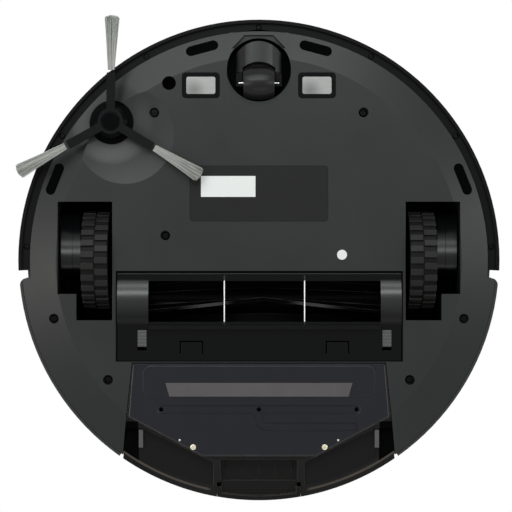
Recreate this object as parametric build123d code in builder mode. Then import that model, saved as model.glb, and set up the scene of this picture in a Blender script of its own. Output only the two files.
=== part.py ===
from build123d import *
import math
import os

# Robot vacuum cleaner. Millimetres, +Z up, floor at Z = 0, front towards -Y.
os.makedirs("parts", exist_ok=True)

# Fits between pieces
slide_gap = 0.3
seat_gap = 0.2
rim_gap = 0.25
shaft_gap = 0.05

# Whole body
body_r = 175.0
body_top = 80.0
ground_gap = 11.0
base_plate = 2.5
ring_width = 28.0
ring_rise = 8.9
cover_wall = 2.0
cover_top = 2.5
join_z = 44.0
notch_y = 13.0
rear_rim_h = 10.0
corner_r = 5.0
web = 2.0

# Bumper
bumper_band = 8.5
bumper_wall = 2.4
bumper_low = 18.0
bumper_high = 69.2
bumper_end_y = 7.5
bumper_travel = 4.0
flange_in = 3.0
flange_t = 4.0
window_half_angle = 71.8
window_low = 34.0
window_high = 54.0
window_sunk = 0.8
window_proud = 0.7
bumper_screw_step = 28.9
bumper_screw_head = 2.0
bumper_screw_r = 0.95

# Cliff sensors
cliff_inset = 15.7
cliff_angles = (-68.3, -15.0, 15.0, 68.3)
cliff_length = 24.0
cliff_width = 7.3
cliff_sunk = 1.0
cliff_t = 2.2

# Charging contacts
contact_x = 42.0
contact_inset = 48.5
contact_length = 21.0
contact_width = 12.4
contact_t = 2.3
contact_corner = 1.5
contact_proud = 0.1
bezel_border = 3.0
bezel_corner = 3.0
bezel_flange = 1.0
bezel_back = 1.5

# Housing screws in the underside
screw_recess_r = 3.6
screw_head_r = 3.0
screw_head_t = 2.0
screw_r = 1.5
screw_length = 10.0
screw_depth = 3.5
boss_wall = 1.8
post_inset = 44.0
post_angle = 35.3
inner_post = (-67.7, -17.9)
side_boss_inset = 20.5
side_boss_angle = 105.9
rear_boss_inset = 35.7
rear_boss_angle = 128.4
drain_inset = 31.3
drain_angle = -26.9
drain_r = 5.0

# Labels
label_length = 99.8
label_width = 40.0
label_share = -0.2754
label_t = 0.3
label_sunk = 0.5
label_corner = 2.6
plate_length = 39.4
plate_width = 15.1
plate_x = -22.2
plate_lead = -5.2
dot_r = 3.6
dot_x = 60.1
dot_y = -4.0

# Caster
caster_inset = 36.8
caster_well_r = 23.2
caster_wall = 2.0
caster_wheel_r = 12.25
caster_wheel_w = 22.5
caster_crown = 2.2
caster_trail = 10.0
caster_axle_r = 1.1
fork_cheek = 4.6
fork_ring = 3.2
fork_low = 8.6
cheek_low = 10.2
cheek_lead = 7.0
pin_seat = 3.0
arch_r = 19.2
arch_gap = 2.9
fork_roof = 3.0
fork_barrel_r = 25.0
crescent_shift = 2.9
crescent_depth = 1.0
caster_stem_r = 3.0
caster_stem_length = 14.0
toe_wide = 19.5
toe_narrow = 10.4
toe_length = 10.0
toe_start = 15.4
toe_depth = 2.0

# Drive wheels
wheel_r = 36.0
wheel_w = 19.2
tyre_t = 6.4
lug_h = 2.0
lug_count = 26
lug_fill = 0.55
tread_split = 0.8
hub_r_inner = 8.0
hub_web = 5.0
wheel_axle_r = 3.0
well_inset = 29.3
well_side_room = 2.9
well_step_room = 3.9
well_arm_room = 1.3
well_front_y = -42.4
well_back_y = 43.5
well_step_y = 24.4
well_wall = 1.0
well_roof = 1.5
well_headroom = 2.5

# Suspension arm with its gearbox and motor
pivot_y = -27.0
pivot_drop = 6.0
pivot_r = 3.0
arm_gap = 1.8
arm_t = 14.4
arm_lid = 6.0
seam_step = 0.6
arm_axle_end = 15.5
arm_pivot_end = 10.0
drive_motor_r = 7.0
drive_motor_length = 34.0
drive_motor_y = -5.0
saddle_length = 22.0
coil_r = 6.0
coil_wire = 2.4
coil_length = 6.0

# Main brush
brush_y = 30.0
brush_z = 30.0
brush_r = 17.6
brush_left_hang = 9.2
brush_right_hang = 6.1
brush_core_r = 7.0
brush_sleeve_r = 10.5
brush_blades = 5
brush_blade_t = 2.2
brush_twist = 34.0
brush_phase = -96.5
brush_journal_r = 4.0
brush_journal = 5.0
brush_bearing_r = 8.0
bearing_seat = 3.0
end_room = 3.5

# Brush chamber
chamber_gap = 2.4
chamber_wall = 2.5
chamber_side_gap = 1.3
chamber_front = 5.5
chamber_back = 73.0
chamber_pocket = 18.0
chamber_deck = 2.0
duct_half = 34.0
duct_low = 32.0
duct_high = 44.0

# Brush drive
gear_module = 1.0
gear_teeth = 36
pinion_teeth = 20
gear_face = 6.0
gear_lean = 9.6
gear_addendum = 0.8
gear_dedendum = 1.25
tooth_root = 1.5
tooth_flank = 78.0
tooth_sink = 0.3
pinion_shaft_r = 1.5
brush_motor_r = 11.5
brush_motor_length = 26.0

# Brush guard
guard_left_gap = 3.8
guard_right_gap = 3.2
guard_front = 8.3
guard_back = 69.0
guard_t = 4.0
guard_gap = 0.4
cap_left_width = 22.5
cap_right_width = 15.0
mouth_front = 15.0
mouth_back = 44.6
cap_bulge = 5.2
cap_back = 50.2
cap_lead = 0.7
wire_r = 0.6
wire_share = 0.327
wire_end = 4.0
wire_sunk = 0.2
plate_sunk = 0.5
latch_offset = 4.7
squeegee_t = 3.2
squeegee_low = 7.5
ledge_sunk = 2.0
lip_sunk = 0.8
hook_width = 17.2
hook_length = 9.4
hook_y = 63.0
hook_spread = 52.8
hook_slot = 1.0
latch_width = 6.4
latch_length = 12.0
latch_travel = 2.5
latch_ribs = 5
latch_rim = 1.2

# Side brush
side_inset = 28.7
side_angle = -46.9
side_recess_r = 15.9
side_recess_top = 15.3
side_hub_r = 12.0
side_hub_low = 4.6
side_hub_high = 10.2
dome_drop = 2.6
dome_share = 0.7
side_phase = -89.0
side_shaft_length = 12.0
side_boss_r = 7.2
side_boss_low = 3.4
side_shaft_r = 2.5
side_arms = 3
side_arm_w = 6.2
side_arm_t = 2.6
side_arm_r = 38.0
side_arm_high = 3.7
side_arm_low = 2.6
bristle_tip_r = 76.5
bristle_rows = 8
bristle_columns = 14
bristle_t = 0.2
bristle_root_w = 4.8
bristle_tip_w = 9.6
bristle_root_h = 2.2
bristle_tip_h = 1.4
bristle_tip_z = 1.3
bristle_ragged = 1.5
tuft_slice = 3.0
dish_inset = 42.3
dish_r = 35.4
dish_depth = 3.0
side_motor_r = 14.0
side_motor_offset = 20.4
side_motor_neck_r = 9.0
side_motor_high = 40.0

# Dust bin with its water tank
bay_step = 5.0
bay_front_share = 0.525
bay_back_inset = 30.0
bay_lean = 7.6
bay_gap = 0.5
bay_wall = 2.0
bay_high = 62.0
bin_top = 60.0
bin_lid_t = 2.4
bin_wall = 2.2
bin_floor = 27.0
bin_side = 7.9
bin_cavity_side_inset = 40.0
bin_cavity_back_inset = 18.0
bin_cavity_back_half = 60.0
rail_low = 34.0
rail_high = 37.0
rail_reach = 1.9
rail_lead = 6.0
rail_back_inset = 37.0
tank_front_gap = 0.4
tank_side_gap = 1.4
tank_mid_share = 0.58
tank_back_inset = 33.7
tank_back_half = 41.2
tank_t = 2.0
tank_chamfer = 0.5
tank_rim = 5.0
tank_roof = 24.0
pad_side = 8.1
pad_lead = 2.5
pad_share = 0.3685
pad_raise = 0.6
strip_front_share = 0.2185
strip_back_share = 0.3625
strip_side = 24.3
strip_taper = 2.9
strip_t = 0.4
outlet_share = 0.504
outlet_side = 21.1
outlet_r = 1.6
channel_w = 5.8
branch_r = 6.3
channel_depth = 0.8
tank_screw_out = 6.4
tank_screw_lead = 6.1
tank_screw_head = 2.5
tank_screw_r = 1.2
grip_half = 27.8
grip_inset = 30.6
grip_top = 22.0
scoop_in = 33.0
scoop_rim = 5.0
scoop_front_inset = 53.5
scoop_top = 18.0
tab_width = 3.0
tab_length = 13.0
tab_inset = 45.8
tab_low = 13.0
button_half = 30.2
button_low = 17.0
button_high = 44.0
button_inset_back = 10.5
button_inset = 0.6
button_lip = 3.2
button_hollow = 4.5
tongue_out = 4.5
tongue_t = 1.2
button_travel = 3.0
filter_duct_gap = 8.0
filter_side_gap = 4.0
filter_low = 30.0
filter_high = 52.0
filter_t = 8.0
seal_w = 2.0
seal_t = 0.6

# Inside the body
battery_half = 57.0
battery_gap = 3.0
battery_width = 46.0
battery_high = 50.0
board_half = 82.0
board_lead = 3.0
board_width = 102.0
board_z = 58.0
board_t = 1.6
switch_size = 6.0
switch_h = 1.2
fan_well_gap = 15.1
fan_back = 3.0
fan_r = 31.0
fan_h = 22.0
fan_wall = 2.0
fan_motor_r = 15.0
fan_motor_h = 6.0
fan_shaft_r = 2.0
impeller_r = 26.0
impeller_blades = 9
impeller_blade_t = 1.6
impeller_h = 10.0
impeller_lean = 25.0
bump_switch_angle = 40.0
bump_switch_size = 9.0

# Top of the body
key_x = 16.0
key_lead = 20.0
key_r = 8.0
key_proud = 0.8
key_travel = 0.6
key_stem_r = 2.5
turret_y = 30.0
turret_r = 46.0
turret_base_t = 2.5
turret_gap_h = 10.5
turret_cap_t = 4.0
turret_posts = 3
turret_post_r = 3.5
rotor_r = 34.0
rotor_h = 8.5
rotor_window_r = 5.0
spindle_r = 4.0
edge_round = 2.0

# Radii and heights that follow from the sizes above
flat_r = body_r - ring_width
rear_edge_r = body_r - cover_wall - rim_gap
front_edge_r = body_r - bumper_band
ring_slope = ring_rise / (rear_edge_r - flat_r)
plate_top = ground_gap + base_plate
ring_plate = base_plate * math.hypot(1, ring_slope)
front_wall_r = front_edge_r - 2 * bumper_travel
front_rim_z = ground_gap + ring_slope * (front_edge_r - flat_r) + ring_plate + slide_gap
flange_low = front_rim_z + slide_gap
rear_rim_z = front_rim_z + rear_rim_h
bumper_inner_r = body_r - bumper_wall
axle_z = wheel_r
pivot_z = axle_z - pivot_drop
well_out_x = body_r - well_inset
arm_x = well_out_x - well_arm_room - arm_t
wheel_x = arm_x - arm_gap - wheel_w
well_in_x = wheel_x - well_side_room
well_step_x = wheel_x + wheel_w + well_step_room
guard_left = guard_left_gap - well_in_x
guard_right = well_in_x - guard_right_gap
mouth_left = guard_left + cap_left_width
mouth_right = guard_right - cap_right_width
brush_left = mouth_left - brush_left_hang
brush_right = mouth_right + brush_right_hang
chamber_right = well_in_x - chamber_side_gap
chamber_left = -chamber_right
gear_x = brush_left - gear_face - web
well_top = 2 * wheel_r + well_headroom
chamber_r = brush_r + chamber_gap
gear_span = gear_module * (gear_teeth + pinion_teeth) / 2
pinion_y = brush_y + gear_span * math.cos(math.radians(gear_lean))
pinion_z = brush_z + gear_span * math.sin(math.radians(gear_lean))
fan_seat = brush_z + chamber_r + chamber_wall + web / 4
cover_low = body_top - cover_top
cliff_r = body_r - cliff_inset
contact_y = contact_inset - body_r
label_y = label_share * body_r
plate_y = label_y + plate_lead
caster_y = caster_inset - body_r
battery_front = caster_y + caster_well_r + caster_wall + battery_gap
battery_back = battery_front + battery_width
board_front = battery_front - board_lead
board_back = board_front + board_width
key_y = battery_front + key_lead
fan_x = well_in_x - fan_well_gap - fan_r
fan_y = brush_y + fan_back
bay_front = guard_back + bay_step
bay_back = body_r - bay_back_inset
bay_front_half = bay_front_share * body_r
bay_back_half = bay_front_half + bay_lean
bin_cavity_half = bay_front_half - bin_side
bin_cavity_side = body_r - bin_cavity_side_inset
bin_cavity_back = body_r - bin_cavity_back_inset
rail_half = bay_front_half - rail_reach
rail_front = bay_front + rail_lead
rail_back = body_r - rail_back_inset
tank_back = body_r - tank_back_inset
tank_length = tank_back - bay_front
tank_front_half = bay_front_half - bay_gap - tank_front_gap
tank_mid = bay_front + tank_mid_share * tank_length
pad_half = bay_front_half - pad_side
pad_front = bay_front + pad_lead
pad_back = bay_front + pad_share * tank_length
strip_front = bay_front + strip_front_share * tank_length
strip_back = bay_front + strip_back_share * tank_length
strip_front_half = bay_front_half - strip_side
strip_back_half = strip_front_half - strip_taper
outlet_y = bay_front + outlet_share * tank_length
outlet_spread = bay_front_half - outlet_side
tank_screw_x = tank_back_half + tank_screw_out
tank_screw_y = tank_back - tank_screw_lead
grip_front = body_r - grip_inset
scoop_front = body_r - scoop_front_inset
scoop_corner = bay_front_half - bin_side
tab_y = body_r - tab_inset
button_back = body_r - button_inset_back
filter_left = duct_half + filter_duct_gap
filter_right = bin_cavity_half - filter_side_gap
bezel_length = contact_length + 2 * bezel_border
bezel_width = contact_width + 2 * bezel_border
contact_low = ground_gap - contact_proud
caster_roof = 2 * caster_wheel_r + fork_roof + 3 * slide_gap
toe_tip_y = caster_y - toe_start - toe_length
toe_top = ground_gap + ring_slope * (-toe_tip_y - flat_r) + toe_depth
ledge_top = ground_gap + guard_t + web / 2
cavity_left = gear_x - end_room
cavity_right = brush_right + end_room


def ring_z(radius):
    """Height of the underside at a distance from the middle of the body."""
    return ground_gap + max(0.0, radius - flat_r) * ring_slope


def polar(radius, angle):
    """Point on a circle, with the angle counted from the front."""
    turn = math.radians(angle)
    return radius * math.sin(turn), -radius * math.cos(turn)


def half_plane(angle):
    """Upright plane through the body's middle, with its X away from the middle."""
    turn = math.radians(angle)
    return Plane((0, 0, 0), (math.cos(turn), math.sin(turn), 0), (math.sin(turn), -math.cos(turn), 0))


def block(x0, x1, y0, y1, z0, z1, mode=Mode.ADD):
    """Box between two corners."""
    with Locations(((x0 + x1) / 2, (y0 + y1) / 2, (z0 + z1) / 2)):
        Box(abs(x1 - x0), abs(y1 - y0), abs(z1 - z0), mode=mode)


def rod_z(x, y, radius, z0, z1, mode=Mode.ADD):
    """Round bar along Z."""
    with Locations((x, y, (z0 + z1) / 2)):
        Cylinder(radius, z1 - z0, mode=mode)


def rod_x(x0, x1, y, z, radius, mode=Mode.ADD):
    """Round bar along X."""
    with Locations(((x0 + x1) / 2, y, z)):
        Cylinder(radius, abs(x1 - x0), rotation=(0, 90, 0), mode=mode)


def rod_y(x, y0, y1, z, radius, mode=Mode.ADD):
    """Round bar along Y."""
    with Locations((x, (y0 + y1) / 2, z)):
        Cylinder(radius, abs(y1 - y0), rotation=(90, 0, 0), mode=mode)


def slab(points, z0, z1, mode=Mode.ADD):
    """Flat piece with a straight-sided outline."""
    with BuildSketch(Plane.XY.offset(z0)) as outline:
        with BuildLine():
            Polyline(*points, close=True)
        make_face()
    extrude(outline.sketch, amount=z1 - z0, mode=mode)


def turned(points, start=0.0, arc=360.0, mode=Mode.ADD):
    """Ring turned about the body's middle from a profile of radius and height."""
    with BuildSketch(half_plane(start)) as profile:
        with BuildLine():
            Polyline(*points, close=True)
        make_face()
    revolve(profile.sketch, axis=Axis.Z, revolution_arc=arc, mode=mode)


def tube(radius_in, radius_out, z0, z1, start=0.0, arc=360.0, mode=Mode.ADD):
    """Upright ring wall about the body's middle."""
    corners = ((radius_in, z0), (radius_out, z0), (radius_out, z1), (radius_in, z1))
    turned(corners, start, arc, mode)


def save(builder, name):
    """Label a finished piece and write it as its own file."""
    builder.part.label = name
    export_step(builder.part, f"parts/{name}.step")


def well_outline(side, grow=0.0):
    """L-shaped outline of a wheel well; grow moves it outwards."""
    inner = side * (well_in_x - grow)
    outer = side * (well_out_x + grow)
    step = side * (well_step_x + grow)
    front = well_front_y - grow
    return ((inner, front), (outer, front), (outer, well_step_y + grow),
            (step, well_step_y + grow), (step, well_back_y + grow), (inner, well_back_y + grow))


def bay_half(y):
    """Half the width of the bin bay at a distance from the body's middle."""
    lean = (bay_back_half - bay_front_half) / (bay_back - bay_front)
    return bay_front_half + lean * (y - bay_front)


def bay_outline(grow=0.0, front=bay_front, back=2 * bay_back):
    """Outline of the bin bay, open to the rear; grow moves its sides outwards."""
    near = bay_half(front) + grow
    far = bay_half(back) + grow
    return ((-near, front), (near, front), (far, back), (-far, back))


def corner_spot(side):
    """Middle of the rounded corner where the rear shell ends beside the bumper."""
    corner_y = notch_y + corner_r
    return side * math.sqrt((body_r - corner_r) ** 2 - corner_y ** 2), corner_y


def corner_trim():
    """Round off the rear shell's corners beside the bumper."""
    for side in (-1, 1):
        x, y = corner_spot(side)
        with BuildSketch(Plane.XY) as corner:
            with Locations((x + side * corner_r, y - corner_r)):
                Rectangle(2 * corner_r, 2 * corner_r)
            with Locations((x, y)):
                Circle(corner_r, mode=Mode.SUBTRACT)
        extrude(corner.sketch, amount=bumper_high + slide_gap, mode=Mode.SUBTRACT)


def under_trim():
    """Cut away whatever lies below the underside."""
    far = body_r + ring_width
    turned(((0, 0), (far, 0), (far, ring_z(far)), (flat_r, ground_gap), (0, ground_gap)), mode=Mode.SUBTRACT)


def pair(radius, angle):
    """The two spots that mirror each other at an angle from the front."""
    return [polar(radius, -angle), polar(radius, angle)]


side_x, side_y = polar(body_r - side_inset, side_angle)
dish_x, dish_y = polar(body_r - dish_inset, side_angle)
side_motor_x, side_motor_y = polar(body_r - side_inset - side_motor_offset, side_angle)
drain_spot = polar(body_r - drain_inset, drain_angle)
post_spots = pair(body_r - post_inset, post_angle) + [inner_post]
low_boss_spots = (pair(body_r - side_boss_inset, side_boss_angle)
                  + pair(body_r - rear_boss_inset, rear_boss_angle))
tank_mid_half = bay_half(tank_mid) - bay_gap - tank_side_gap
rear_start = math.degrees(math.asin(notch_y / body_r))
rear_arc = 180 - 2 * rear_start
front_start = 180 - rear_start
front_arc = 180 + 2 * rear_start

# Chassis base: the moulded tray that carries everything
with BuildPart() as chassis_base:
    front_top = ring_z(front_edge_r) + ring_plate
    turned(((0, ground_gap), (flat_r, ground_gap), (front_edge_r, ring_z(front_edge_r)),
            (front_edge_r, front_rim_z), (front_edge_r - web, front_rim_z),
            (front_edge_r - web, front_top - web * ring_slope), (flat_r, plate_top), (0, plate_top)))
    turned(((flat_r - web, ground_gap), (flat_r, ground_gap), (rear_edge_r, ring_z(rear_edge_r)),
            (rear_edge_r, rear_rim_z), (rear_edge_r - web, rear_rim_z),
            (rear_edge_r - web, ring_z(rear_edge_r - web) + ring_plate), (flat_r, plate_top),
            (flat_r - web, plate_top)), rear_start, rear_arc)
    tube(front_wall_r - web, front_wall_r, plate_top, join_z, front_start, front_arc)
    for side in (-1, 1):
        block(side * (front_wall_r - web), side * (rear_edge_r - web), notch_y, notch_y + web, plate_top,
              rear_rim_z)
        block(side * (front_wall_r - web), side * (corner_spot(1)[0] - corner_r - slide_gap), notch_y,
              notch_y + web, rear_rim_z, join_z)
    # Material for the wells, bosses, bay walls and rails
    rod_z(0, caster_y, caster_well_r + caster_wall, ground_gap, caster_roof + caster_wall)
    rod_z(0, caster_y, caster_stem_r + 2 * caster_wall, caster_roof, caster_roof + caster_stem_length)
    toe_y = caster_y - toe_start
    block(-toe_wide - web, toe_wide + web, toe_y - toe_length - web, toe_y, ground_gap, toe_top + web)
    rod_z(dish_x, dish_y, dish_r + web, ground_gap, plate_top + dish_depth)
    rod_z(side_x, side_y, side_recess_r + web, ground_gap, side_recess_top + web)
    for spot in post_spots:
        rod_z(*spot, screw_recess_r + boss_wall, ground_gap, board_z)
    for spot in low_boss_spots:
        rod_z(*spot, screw_recess_r + boss_wall, ground_gap, plate_top + screw_depth + screw_length)
    for side in (-1, 1):
        slab(well_outline(side, well_wall), ground_gap, well_top + well_roof)
        spring_x = side * (well_out_x + well_wall)
        rod_x(spring_x, spring_x + side * web, pivot_y, pivot_z, pivot_r + web)
    slab(bay_outline(bay_wall, bay_front, bay_back), ground_gap, bay_high)
    block(chamber_left, chamber_right, guard_back + slide_gap, bay_front, ground_gap, ledge_top)
    under_trim()
    tube(rear_edge_r, 2 * body_r, 0, body_top, mode=Mode.SUBTRACT)
    # Wells, openings and recesses
    slab(bay_outline(), 0, body_top, Mode.SUBTRACT)
    for side in (-1, 1):
        rail_x = side * rail_half
        wall_front = side * (bay_half(rail_front) + bay_wall / 2)
        wall_back = side * (bay_half(rail_back) + bay_wall / 2)
        slab(((rail_x, rail_front), (wall_front, rail_front), (wall_back, rail_back), (rail_x, rail_back)),
             rail_low, rail_high)
        slab(well_outline(side), 0, well_top, Mode.SUBTRACT)
        pin_end = side * (well_out_x + well_wall + 2 * web)
        rod_x(side * well_step_x, pin_end, pivot_y, pivot_z, pivot_r + shaft_gap, Mode.SUBTRACT)
    rod_z(0, caster_y, caster_well_r, 0, caster_roof, Mode.SUBTRACT)
    rod_z(0, caster_y + crescent_shift, caster_well_r, 0, ground_gap + crescent_depth, Mode.SUBTRACT)
    rod_z(0, caster_y, caster_stem_r + shaft_gap, 0, body_top, Mode.SUBTRACT)
    slab(((-toe_wide, toe_y), (-toe_narrow, toe_y - toe_length), (toe_narrow, toe_y - toe_length),
          (toe_wide, toe_y)), 0, toe_top, Mode.SUBTRACT)
    block(guard_left - slide_gap, guard_right + slide_gap, guard_front - guard_gap,
          guard_back + slide_gap, 0, ledge_top, Mode.SUBTRACT)
    block(guard_left - slide_gap, guard_right + slide_gap, guard_back, bay_front - web / 2,
          0, ground_gap + ledge_sunk, Mode.SUBTRACT)
    dish_ball = (dish_r ** 2 + dish_depth ** 2) / (2 * dish_depth)
    with Locations((dish_x, dish_y, ground_gap + dish_depth - dish_ball)):
        Sphere(dish_ball, mode=Mode.SUBTRACT)
    rod_z(side_x, side_y, side_recess_r, 0, side_recess_top, Mode.SUBTRACT)
    rod_z(side_x, side_y, side_shaft_r + web / 2, 0, plate_top + dish_depth + web, Mode.SUBTRACT)
    for spot in post_spots + low_boss_spots:
        head = ring_z(math.hypot(*spot)) + screw_depth
        rod_z(*spot, screw_recess_r, 0, head + screw_head_t, Mode.SUBTRACT)
        rod_z(*spot, screw_r + shaft_gap, 0, head + screw_length, Mode.SUBTRACT)
    rod_z(*drain_spot, drain_r, 0, front_rim_z, Mode.SUBTRACT)
    for side in (-1, 1):
        with BuildSketch(Plane.XY):
            with Locations((side * contact_x, contact_y)):
                RectangleRounded(bezel_length + 2 * seat_gap, bezel_width + 2 * seat_gap, bezel_corner)
        extrude(amount=plate_top, mode=Mode.SUBTRACT)
    for angle in cliff_angles:
        with BuildSketch(Plane.XY):
            with Locations(polar(cliff_r, angle)):
                SlotOverall(cliff_length, cliff_width, rotation=angle)
        extrude(amount=front_rim_z, mode=Mode.SUBTRACT)
    with BuildSketch(Plane.XY):
        with Locations((0, label_y)):
            RectangleRounded(label_length + 2 * seat_gap, label_width + 2 * seat_gap, label_corner + seat_gap)
    extrude(amount=ground_gap + label_sunk, mode=Mode.SUBTRACT)
    corner_trim()
save(chassis_base, "chassis_base")

# Top cover with the rear shell and the skirt behind the bumper
with BuildPart() as top_cover:
    rod_z(0, 0, body_r, cover_low, body_top)
    fillet(top_cover.edges().group_by(Axis.Z)[-1], edge_round)
    tube(body_r - cover_wall, body_r, bumper_high + slide_gap, cover_low)
    tube(body_r - cover_wall, body_r, ring_z(rear_edge_r) + slide_gap, cover_low, rear_start, rear_arc)
    tube(front_wall_r - web, front_wall_r, join_z, cover_low, front_start, front_arc)
    for side in (-1, 1):
        block(side * (front_wall_r - web), side * (body_r - cover_wall), notch_y, notch_y + web, join_z,
              cover_low)
        rod_z(*corner_spot(side), corner_r, rear_rim_z + slide_gap, cover_low)
    corner_trim()
    block(-bay_back_half - bay_wall, bay_back_half + bay_wall, bay_back - bay_wall - cover_wall, body_r, 0,
          bay_high, Mode.SUBTRACT)
    for side in (-1, 1):
        rod_z(side * key_x, key_y, key_r + slide_gap, cover_low, body_top, Mode.SUBTRACT)
save(top_cover, "top_cover")

# Bumper shell with the two flanges that slide on the base's rim
bumper_start = 180 - math.degrees(math.asin(bumper_end_y / body_r))
bumper_arc = 180 + 2 * math.degrees(math.asin(bumper_end_y / body_r))
flange_in_r = front_edge_r - flange_in
window_start = 270 - window_half_angle
bumper_screw_ring = (front_edge_r + bumper_inner_r) / 2
screw_angles = [bumper_screw_step * step for step in range(-3, 4)]
with BuildPart() as bumper_shell:
    tube(bumper_inner_r, body_r, bumper_low, bumper_high, bumper_start, bumper_arc)
    tube(flange_in_r, bumper_inner_r, flange_low, flange_low + flange_t, bumper_start, bumper_arc)
    tube(flange_in_r, bumper_inner_r, bumper_high - bumper_wall, bumper_high, bumper_start, bumper_arc)
    tube(body_r - window_sunk, body_r + window_sunk, window_low, window_high, window_start,
         2 * window_half_angle, Mode.SUBTRACT)
    rod_z(0, caster_y, caster_well_r + caster_wall + bumper_travel + 2 * slide_gap, flange_low,
          flange_low + flange_t, Mode.SUBTRACT)
    for angle in screw_angles:
        rod_z(*polar(bumper_screw_ring, angle), bumper_screw_head + seat_gap, 0,
              flange_low + flange_t / 2, Mode.SUBTRACT)
        rod_z(*polar(bumper_screw_ring, angle), bumper_screw_r + shaft_gap, 0,
              flange_low + flange_t, Mode.SUBTRACT)
save(bumper_shell, "bumper_shell")

# Dark sensor window let into the bumper
with BuildPart() as bumper_window:
    end_gap = math.degrees(seat_gap / body_r)
    tube(body_r - window_sunk, body_r + window_proud, window_low + seat_gap, window_high - seat_gap,
         window_start + end_gap, 2 * (window_half_angle - end_gap))
save(bumper_window, "bumper_window")

# Small screws in the bumper's lower flange
with BuildPart() as bumper_screws:
    for angle in screw_angles:
        spot = polar(bumper_screw_ring, angle)
        rod_z(*spot, bumper_screw_head, flange_low + slide_gap, flange_low + flange_t / 2)
        rod_z(*spot, bumper_screw_r, flange_low + flange_t / 2, flange_low + flange_t)
save(bumper_screws, "bumper_screws")

# Two bump switches on the front wall
with BuildPart() as bump_switches:
    for angle in (-bump_switch_angle, bump_switch_angle):
        with BuildSketch(Plane.XY.offset(join_z)):
            with Locations(polar(front_wall_r + bump_switch_size / 3, angle)):
                Rectangle(2 * bump_switch_size, bump_switch_size, rotation=angle)
        extrude(amount=bump_switch_size)
    rod_z(0, 0, front_wall_r + seat_gap, 0, body_top, Mode.SUBTRACT)
save(bump_switches, "bump_switches")

# Smoked windows of the cliff sensors
with BuildPart() as cliff_windows:
    for angle in cliff_angles:
        with BuildSketch(Plane.XY.offset(ring_z(cliff_r) + cliff_sunk)):
            with Locations(polar(cliff_r, angle)):
                SlotOverall(cliff_length - 2 * seat_gap, cliff_width - 2 * seat_gap, rotation=angle)
        extrude(amount=cliff_t)
save(cliff_windows, "cliff_windows")

# Frames of the charging contacts
with BuildPart() as contact_bezels:
    for side in (-1, 1):
        for grow, low, high in ((0, ground_gap, plate_top),
                                (bezel_flange, plate_top, plate_top + bezel_back)):
            with BuildSketch(Plane.XY.offset(low)):
                with Locations((side * contact_x, contact_y)):
                    RectangleRounded(bezel_length + 2 * grow, bezel_width + 2 * grow, bezel_corner + grow)
            extrude(amount=high - low)
        with BuildSketch(Plane.XY.offset(contact_low)):
            with Locations((side * contact_x, contact_y)):
                RectangleRounded(contact_length + 2 * seat_gap, contact_width + 2 * seat_gap, contact_corner)
        extrude(amount=contact_t, mode=Mode.SUBTRACT)
save(contact_bezels, "contact_bezels")

# Charging contact plates
with BuildPart() as charge_contacts:
    for side in (-1, 1):
        with BuildSketch(Plane.XY.offset(contact_low)):
            with Locations((side * contact_x, contact_y)):
                RectangleRounded(contact_length, contact_width, contact_corner)
        extrude(amount=contact_t)
save(charge_contacts, "charge_contacts")

# Screws that hold the base to the cover
with BuildPart() as base_screws:
    for spot in post_spots + low_boss_spots:
        head = ring_z(math.hypot(*spot)) + screw_depth
        rod_z(*spot, screw_head_r, head, head + screw_head_t)
        rod_z(*spot, screw_r, head + screw_head_t, head + screw_length)
    for spot in post_spots + low_boss_spots:
        head = ring_z(math.hypot(*spot)) + screw_depth
        block(spot[0] - screw_r, spot[0] + screw_r, spot[1] - slide_gap, spot[1] + slide_gap, head,
              head + slide_gap, Mode.SUBTRACT)
        block(spot[0] - slide_gap, spot[0] + slide_gap, spot[1] - screw_r, spot[1] + screw_r, head,
              head + slide_gap, Mode.SUBTRACT)
save(base_screws, "base_screws")

# Plain rating label, and the plain white plate and round dot
label_low = ground_gap + label_sunk - label_t
with BuildPart() as rating_label:
    with BuildSketch(Plane.XY.offset(label_low)):
        with Locations((0, label_y)):
            RectangleRounded(label_length, label_width, label_corner)
    extrude(amount=label_t)
save(rating_label, "rating_label")
with BuildPart() as white_stickers:
    block(plate_x - plate_length / 2, plate_x + plate_length / 2, plate_y - plate_width / 2,
          plate_y + plate_width / 2, label_low - label_t, label_low)
    rod_z(dot_x, dot_y, dot_r, ground_gap - label_t, ground_gap)
save(white_stickers, "white_stickers")

# Caster fork that swivels on its stem in the front well
slot_half = caster_wheel_w / 2 + 2 * slide_gap
fork_half = slot_half + fork_cheek
pin_half = slot_half + pin_seat
fork_r = caster_well_r - fork_ring
wheel_y = caster_y + caster_trail
fork_back = wheel_y + 2 * caster_axle_r + slide_gap
arch_y = wheel_y - caster_wheel_r - arch_gap + arch_r
with BuildPart() as caster_fork:
    rod_z(0, caster_y, fork_r, fork_low, caster_roof - slide_gap)
    block(-fork_half, fork_half, caster_y - fork_r, fork_back, 0, caster_roof, Mode.INTERSECT)
    rod_y(0, caster_y - fork_r, fork_back, fork_low + fork_barrel_r, fork_barrel_r, Mode.INTERSECT)
    for side in (-1, 1):
        block(side * slot_half, side * fork_half, wheel_y - cheek_lead, fork_back, cheek_low,
              caster_roof - slide_gap)
    with BuildSketch():
        with Locations((0, arch_y)):
            Circle(arch_r)
            Rectangle(2 * slot_half, 2 * arch_r, mode=Mode.INTERSECT)
    extrude(amount=caster_roof - fork_roof, mode=Mode.SUBTRACT)
    rod_x(-pin_half, pin_half, wheel_y, caster_wheel_r, caster_axle_r + shaft_gap, Mode.SUBTRACT)
    block(-pin_half, pin_half, wheel_y - caster_axle_r + slide_gap, wheel_y + caster_axle_r - slide_gap,
          0, caster_wheel_r, Mode.SUBTRACT)
    rod_z(0, caster_y, caster_stem_r, caster_roof - fork_roof, caster_roof + caster_stem_length - slide_gap)
save(caster_fork, "caster_fork")

# Steel axle of the caster wheel
with BuildPart() as caster_axle:
    rod_x(-pin_half + shaft_gap, pin_half - shaft_gap, wheel_y, caster_wheel_r, caster_axle_r)
save(caster_axle, "caster_axle")

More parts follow.
